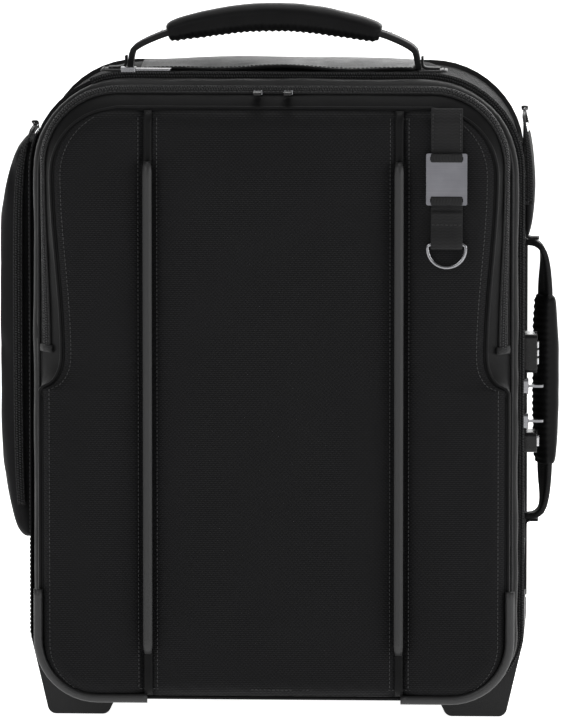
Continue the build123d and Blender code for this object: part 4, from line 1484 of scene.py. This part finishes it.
class BACKPACK_OT_handles(bpy.types.Operator):
    """The top and side carry handles with their padded grips and sewn ends"""
    bl_idname = "backpack.handles"
    bl_label = "Carry handles"

    def execute(self, context):
        swing = pivot("top_handle_fold")
        half = (node_box("top_handle_webbing")[1].x - node_box("top_handle_webbing")[0].x) / 2 - 2
        rise = [(-half, -6), (1 - half, 3), (3 - half, 12), (-75, 27), (0, 38), (75, 27), (half - 3, 12),
                (half - 1, 3), (half, -6)]
        line = [(swing.x + a, swing.y, swing.z + b) for a, b in rise]
        self.handle("top", line, lambda share: (0, 1, 0), 30.0, 22.5, "top_handle", 174.0)
        swing = pivot("side_handle_fold")
        half = (node_box("side_handle_webbing")[1].z - node_box("side_handle_webbing")[0].z) / 2 - 2
        rise = [(-7, -half), (3, 0.5 - half), (9, 9 - half), (9, -70), (10, 0), (9, 70), (9, half - 9),
                (3, half - 0.5), (-7, half)]
        line = [(swing.x + a, swing.y, swing.z + b) for a, b in rise]
        self.handle("side", line, self.side_tilt, 29.0, 19.0, "side_handle", 138.0)
        self.anchors()
        return {"FINISHED"}

    def side_tilt(self, share):
        """The side grip is turned a little to the front; its ends lie flat on the case."""
        turn = math.radians(20) * smoothstep(min(share, 1 - share) / 0.22)
        return (math.sin(turn), -math.cos(turn), 0)

    def handle(self, name, guide, across, wide, thick, body, grip_length):
        """A strap, the padded sleeve round its middle, and their stitches."""
        line = [Vector(p) for p in guide[:1]] + rounded_path(guide, 3.0, 3)[1:]
        run = lengths(line)

        def fold(share):
            from_end = min(share, 1 - share) * run[-1]
            return (0.5 + 0.5 * smoothstep((from_end - 2) / 13), 1.0)

        webbing = sweep(f"{name}_handle_strap", line, strip(25.0, 4.4), across, scale=fold)
        dress(webbing, "webbing", body, [f"{name}_handle_webbing"])
        start = (run[-1] - grip_length) / 2
        covered = [position for position, _ in resample(line, 1.1)]
        covered = [p for p, s in zip(covered, lengths(covered)) if start <= s <= start + grip_length]
        sleeve = grip(f"{name}_handle_sleeve", covered, across(0.5), wide, thick)
        dress(sleeve, "satin", body, [f"{name}_handle_grip"])
        side = Vector(across(0.5))
        outward = (covered[-1] - covered[0]).cross(side).normalized()
        rows = []
        for edge in (side, -side):
            path = [p + edge * (wide / 2 - 1.5) + outward * thick * 0.16 for p in covered[4:-4]]
            rows.append(seam("row", path, edge + outward * 0.6, 3.2, 2.3, 0.6))
        for end in (covered[0], covered[-1]):
            away = (end - covered[len(covered) // 2]).normalized()
            for step in (5.0, 9.0):
                middle = end + away * step + outward * 2.5
                rows.append(seam("row", [middle - side * 8, middle + side * 8], outward, 2.6, 1.9, 0.6))
        dress(join(f"{name}_handle_stitches", rows), "thread", body)

    def anchors(self):
        """Webbing lugs on sewn patches, at both ends of each handle."""
        for name in ("top", "side"):
            low, high = node_box(f"{name}_handle_anchors")
            swing = pivot(f"{name}_handle_fold")
            made, threads, patches = [], [], []
            for side in (-1, 1):
                if name == "top":
                    edge = low.x + 0.9 if side < 0 else high.x - 0.9
                    near = CASE["high"] + 0.6
                    path = [(edge + side * 14, swing.y, near + 3.0), (edge + side * 3, swing.y, near + 3.2),
                            (edge, swing.y, near + 5), (edge, swing.y, swing.z + 4)]
                    lug = sweep("lug", rounded_path(path, 1.5, 2), strip(14.0, 1.8), (0, 1, 0))
                    reach = sorted((edge - side * 4, edge + side * 20))
                    cloth, sewn = patch("patch", (reach[0], swing.y - 13), (reach[1], swing.y + 13),
                                        3, near + 0.8, top, 1.6)
                else:
                    edge = low.z + 0.9 if side < 0 else high.z - 0.9
                    near = CASE["half"] + 0.4
                    path = [(near + 2.2, swing.y, edge + side * 14), (near + 2.4, swing.y, edge + side * 3),
                            (near + 4, swing.y, edge), (swing.x + 4, swing.y, edge)]
                    lug = sweep("lug", rounded_path(path, 1.5, 2), strip(14.0, 1.8), (0, 1, 0))
                    reach = sorted((edge - side * 4, edge + side * 20))
                    cloth, sewn = patch("patch", (swing.y - 13, reach[0]), (swing.y + 13, reach[1]),
                                        3, near + 0.4, right, 1.4)
                made.append(lug)
                patches.append(cloth)
                threads.append(sewn)
            dress(join(f"{name}_handle_lugs", made), "webbing", "case", [f"{name}_handle_anchors"])
            dress(join(f"{name}_handle_patches", patches), "rubber", "case")
            dress(join(f"{name}_handle_patch_stitches", threads), "thread", "case")


class BACKPACK_OT_back(bpy.types.Operator):
    """The quilted back, its pads and the harness"""
    bl_idname = "backpack.back"
    bl_label = "Back and harness"

    def execute(self, context):
        low, high = node_box("back_panel")
        shape = dict(half=high.x, low=low.z, high=high.z, corner=50.0)

        def quilt(u, v):
            edge = min(half_width(shape, v) - abs(u), v - low.z, high.z - v)
            rolled = 3.4 * (1 - min(1.0, edge / 9)) ** 2
            lines = [abs(abs(u) - 128), abs(abs(u) - 6), abs(v - 150), abs(v - 222), abs(v - 466)]
            channel = max(1.6 * math.exp(-(line / 3.5) ** 2) for line in lines)
            return high.y - 0.2 - rolled - channel + 0.3 * ripple(u, 0, v, 45)

        quilted = padded_face("back_panel_quilt", heights(shape, 0, 4.0), 96,
                              lambda v: half_width(shape, v), quilt, low.y + 0.3, back)
        dress(quilted, "side_nylon", "case", ["back_panel"])
        edge = [(u, v, nu, nv) for u, v, nu, nv in outline(**shape, step=8)]
        piping = band("back_panel_piping", edge, cord_section(1.5, 0.6, low.y + 1.6), back)
        dress(piping, "piping", "case")
        for name, side in (("left", -1), ("right", 1)):
            self.pad(name)
            self.shoulder_strap(name, side)
        return {"FINISHED"}

    def pad(self, name):
        low, high = node_box(f"back_pad_{name}")
        shape = dict(half=(high.x - low.x) / 2, low=low.z, high=high.z, corner=20.0)
        near = low.y + 0.1
        profile = [(1.5, near), (0.8, near + 1.2), (1.0, near + 4), (2.4, near + 6.2), (5.5, near + 7.6),
                   (10, near + 8.0)]
        pad = dome(f"back_pad_{name}_mesh", shape, profile, back, (low.x + high.x) / 2)
        puff(pad, 5, 4.0, 1.8)
        for vertex in pad.data.vertices:
            p = vertex.co / MM
            if p.y > near + 4:
                rows = [low.z + (high.z - low.z) * k / 4 for k in (1, 2, 3)]
                channel = sum(math.exp(-((p.z - row) / 3.5) ** 2) for row in rows)
                vertex.co.y -= 2.4 * channel * MM
        dress(pad, "mesh", "case", [f"back_pad_{name}"])

    def shoulder_strap(self, name, side):
        low, high = node_box(f"shoulder_strap_{name}")
        middle_y = (low.y + high.y) / 2
        guide = [(side * 50, middle_y, high.z + 1), (side * 54, middle_y, 440), (side * 62, middle_y, 400),
                 (side * 86, middle_y, 300), (side * 90, middle_y, 240), (side * 90, middle_y, low.z + 3)]
        line = rounded_path(guide, 4.0, 3)
        thick = high.y - low.y

        def shape(share):
            end = min(share, 1 - share) * 280
            rounded = math.sqrt(1 - (1 - min(1.0, end / 22)) ** 2)
            return (0.62 + 0.38 * rounded, 0.55 + 0.45 * min(1.0, end / 10))

        strap = sweep(f"shoulder_strap_{name}_padded", line, oval(53.0, thick, 28, 0.6), (1, 0, 0),
                      scale=shape)
        dress(strap, "mesh", "case", [f"shoulder_strap_{name}"])
        trims, rows = [], []
        for edge in (-1, 1):
            path = [p + Vector((edge * 25.2, 0.4, 0)) for p in line[6:-6]]
            trims.append(sweep("binding", path, oval(4.2, 6.2, 10, 0.8), (1, 0, 0)))
            sewn = [p + Vector((edge * 21.0, thick / 2 - 0.1, 0)) for p in line[6:-6]]
            rows.append(seam("row", sewn, (0, 1, 0)))
        dress(join(f"shoulder_strap_{name}_binding", trims), "webbing", "case")
        carrier = [p + Vector((0, thick / 2 + 0.5, 0)) for p in line[4:-8]]
        ribbon = sweep(f"shoulder_strap_{name}_webbing", carrier, strip(20.0, 1.4), (1, 0, 0))
        dress(ribbon, "webbing", "case")
        dress(join(f"shoulder_strap_{name}_stitches", rows), "thread", "case")
        strap_low, strap_high = node_box(f"lower_strap_{name}")
        lying = strap_low.y + 1.0
        guide = [(side * 92, lying + 3.4, strap_high.z + 1), (side * 92, lying + 5.6, 200),
                 (side * 92, lying + 5.4, 193), (side * 94, lying + 0.6, 180), (side * 104, lying, 160),
                 (side * 124, lying, strap_low.z + 3)]
        tail = sweep(f"lower_strap_{name}_webbing", rounded_path(guide, 2.5, 2), strip(25.0, 1.6),
                     (1, 0, 0.15 * side))
        dress(tail, "webbing", "case", [f"lower_strap_{name}"])


class BACKPACK_OT_fittings(bpy.types.Operator):
    """Finishes of the moulded, metal and wheel parts that keep their engineered shape"""
    bl_idname = "backpack.fittings"
    bl_label = "Fittings"

    def execute(self, context):
        by_finish = {
            "lining": ["case_lining"],
            "board": ["frame_board"],
            "plastic": ["corner_guard_left", "corner_guard_right", "trolley_foot", "kick_plate"],
            "fine_plastic": ["handle_tray", "trolley_grip", "strap_adjusters", "pocket_pull_left",
                             "pocket_pull_right"],
            "gloss": ["lock_body", "trolley_button"],
            "aluminium": [f"{tube}_{side}" for tube in ("trolley_tube", "stage_tube", "inner_tube")
                          for side in ("left", "right")],
            "tyre": ["tyre_left", "tyre_right"],
            "hub": ["hub_left", "hub_right"],
            "bright": ["axles", "lock_dial_1", "lock_dial_2", "lock_dial_3", "lock_button"],
            "gunmetal": ["strap_plate"],
            "chrome": ["pocket_slider_left", "pocket_slider_right", "main_slider_upper", "main_slider_lower",
                       "main_slider_top"],
        }
        for finish, nodes in by_finish.items():
            for node in nodes:
                mesh = frame["nodes"][node].data
                mesh.materials.clear()
                mesh.materials.append(finishes()[finish])
        return {"FINISHED"}


class BACKPACK_PT_panel(bpy.types.Panel):
    """Builds the backpack piece by piece"""
    bl_label = "Travel Backpack"
    bl_idname = "BACKPACK_PT_panel"
    bl_space_type = "VIEW_3D"
    bl_region_type = "UI"
    bl_category = "Backpack"

    def draw(self, context):
        for operator in OPERATORS:
            self.layout.operator(operator.bl_idname)
        scene = context.scene
        for group in (scene.backpack_colours, scene.backpack_shape, scene.backpack_view):
            for name in group.__annotations__:
                self.layout.prop(group, name)


OPERATORS = (BACKPACK_OT_stage, BACKPACK_OT_case, BACKPACK_OT_main_zipper, BACKPACK_OT_lid,
             BACKPACK_OT_front_panel, BACKPACK_OT_seam_bars, BACKPACK_OT_gusset, BACKPACK_OT_ring_strap,
             BACKPACK_OT_side_pockets, BACKPACK_OT_handles, BACKPACK_OT_back, BACKPACK_OT_fittings)
CLASSES = (BackpackColours, BackpackShape, BackpackView, *OPERATORS, BACKPACK_PT_panel)


def register():
    for each in CLASSES:
        bpy.utils.register_class(each)
    bpy.types.Scene.backpack_colours = PointerProperty(type=BackpackColours)
    bpy.types.Scene.backpack_shape = PointerProperty(type=BackpackShape)
    bpy.types.Scene.backpack_view = PointerProperty(type=BackpackView)


def unregister():
    del bpy.types.Scene.backpack_view
    del bpy.types.Scene.backpack_shape
    del bpy.types.Scene.backpack_colours
    for each in reversed(CLASSES):
        bpy.utils.unregister_class(each)


def main():
    register()
    for operator in OPERATORS:
        group, name = operator.bl_idname.split(".")
        getattr(getattr(bpy.ops, group), name)()
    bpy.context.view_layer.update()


if __name__ == "__main__":
    main()
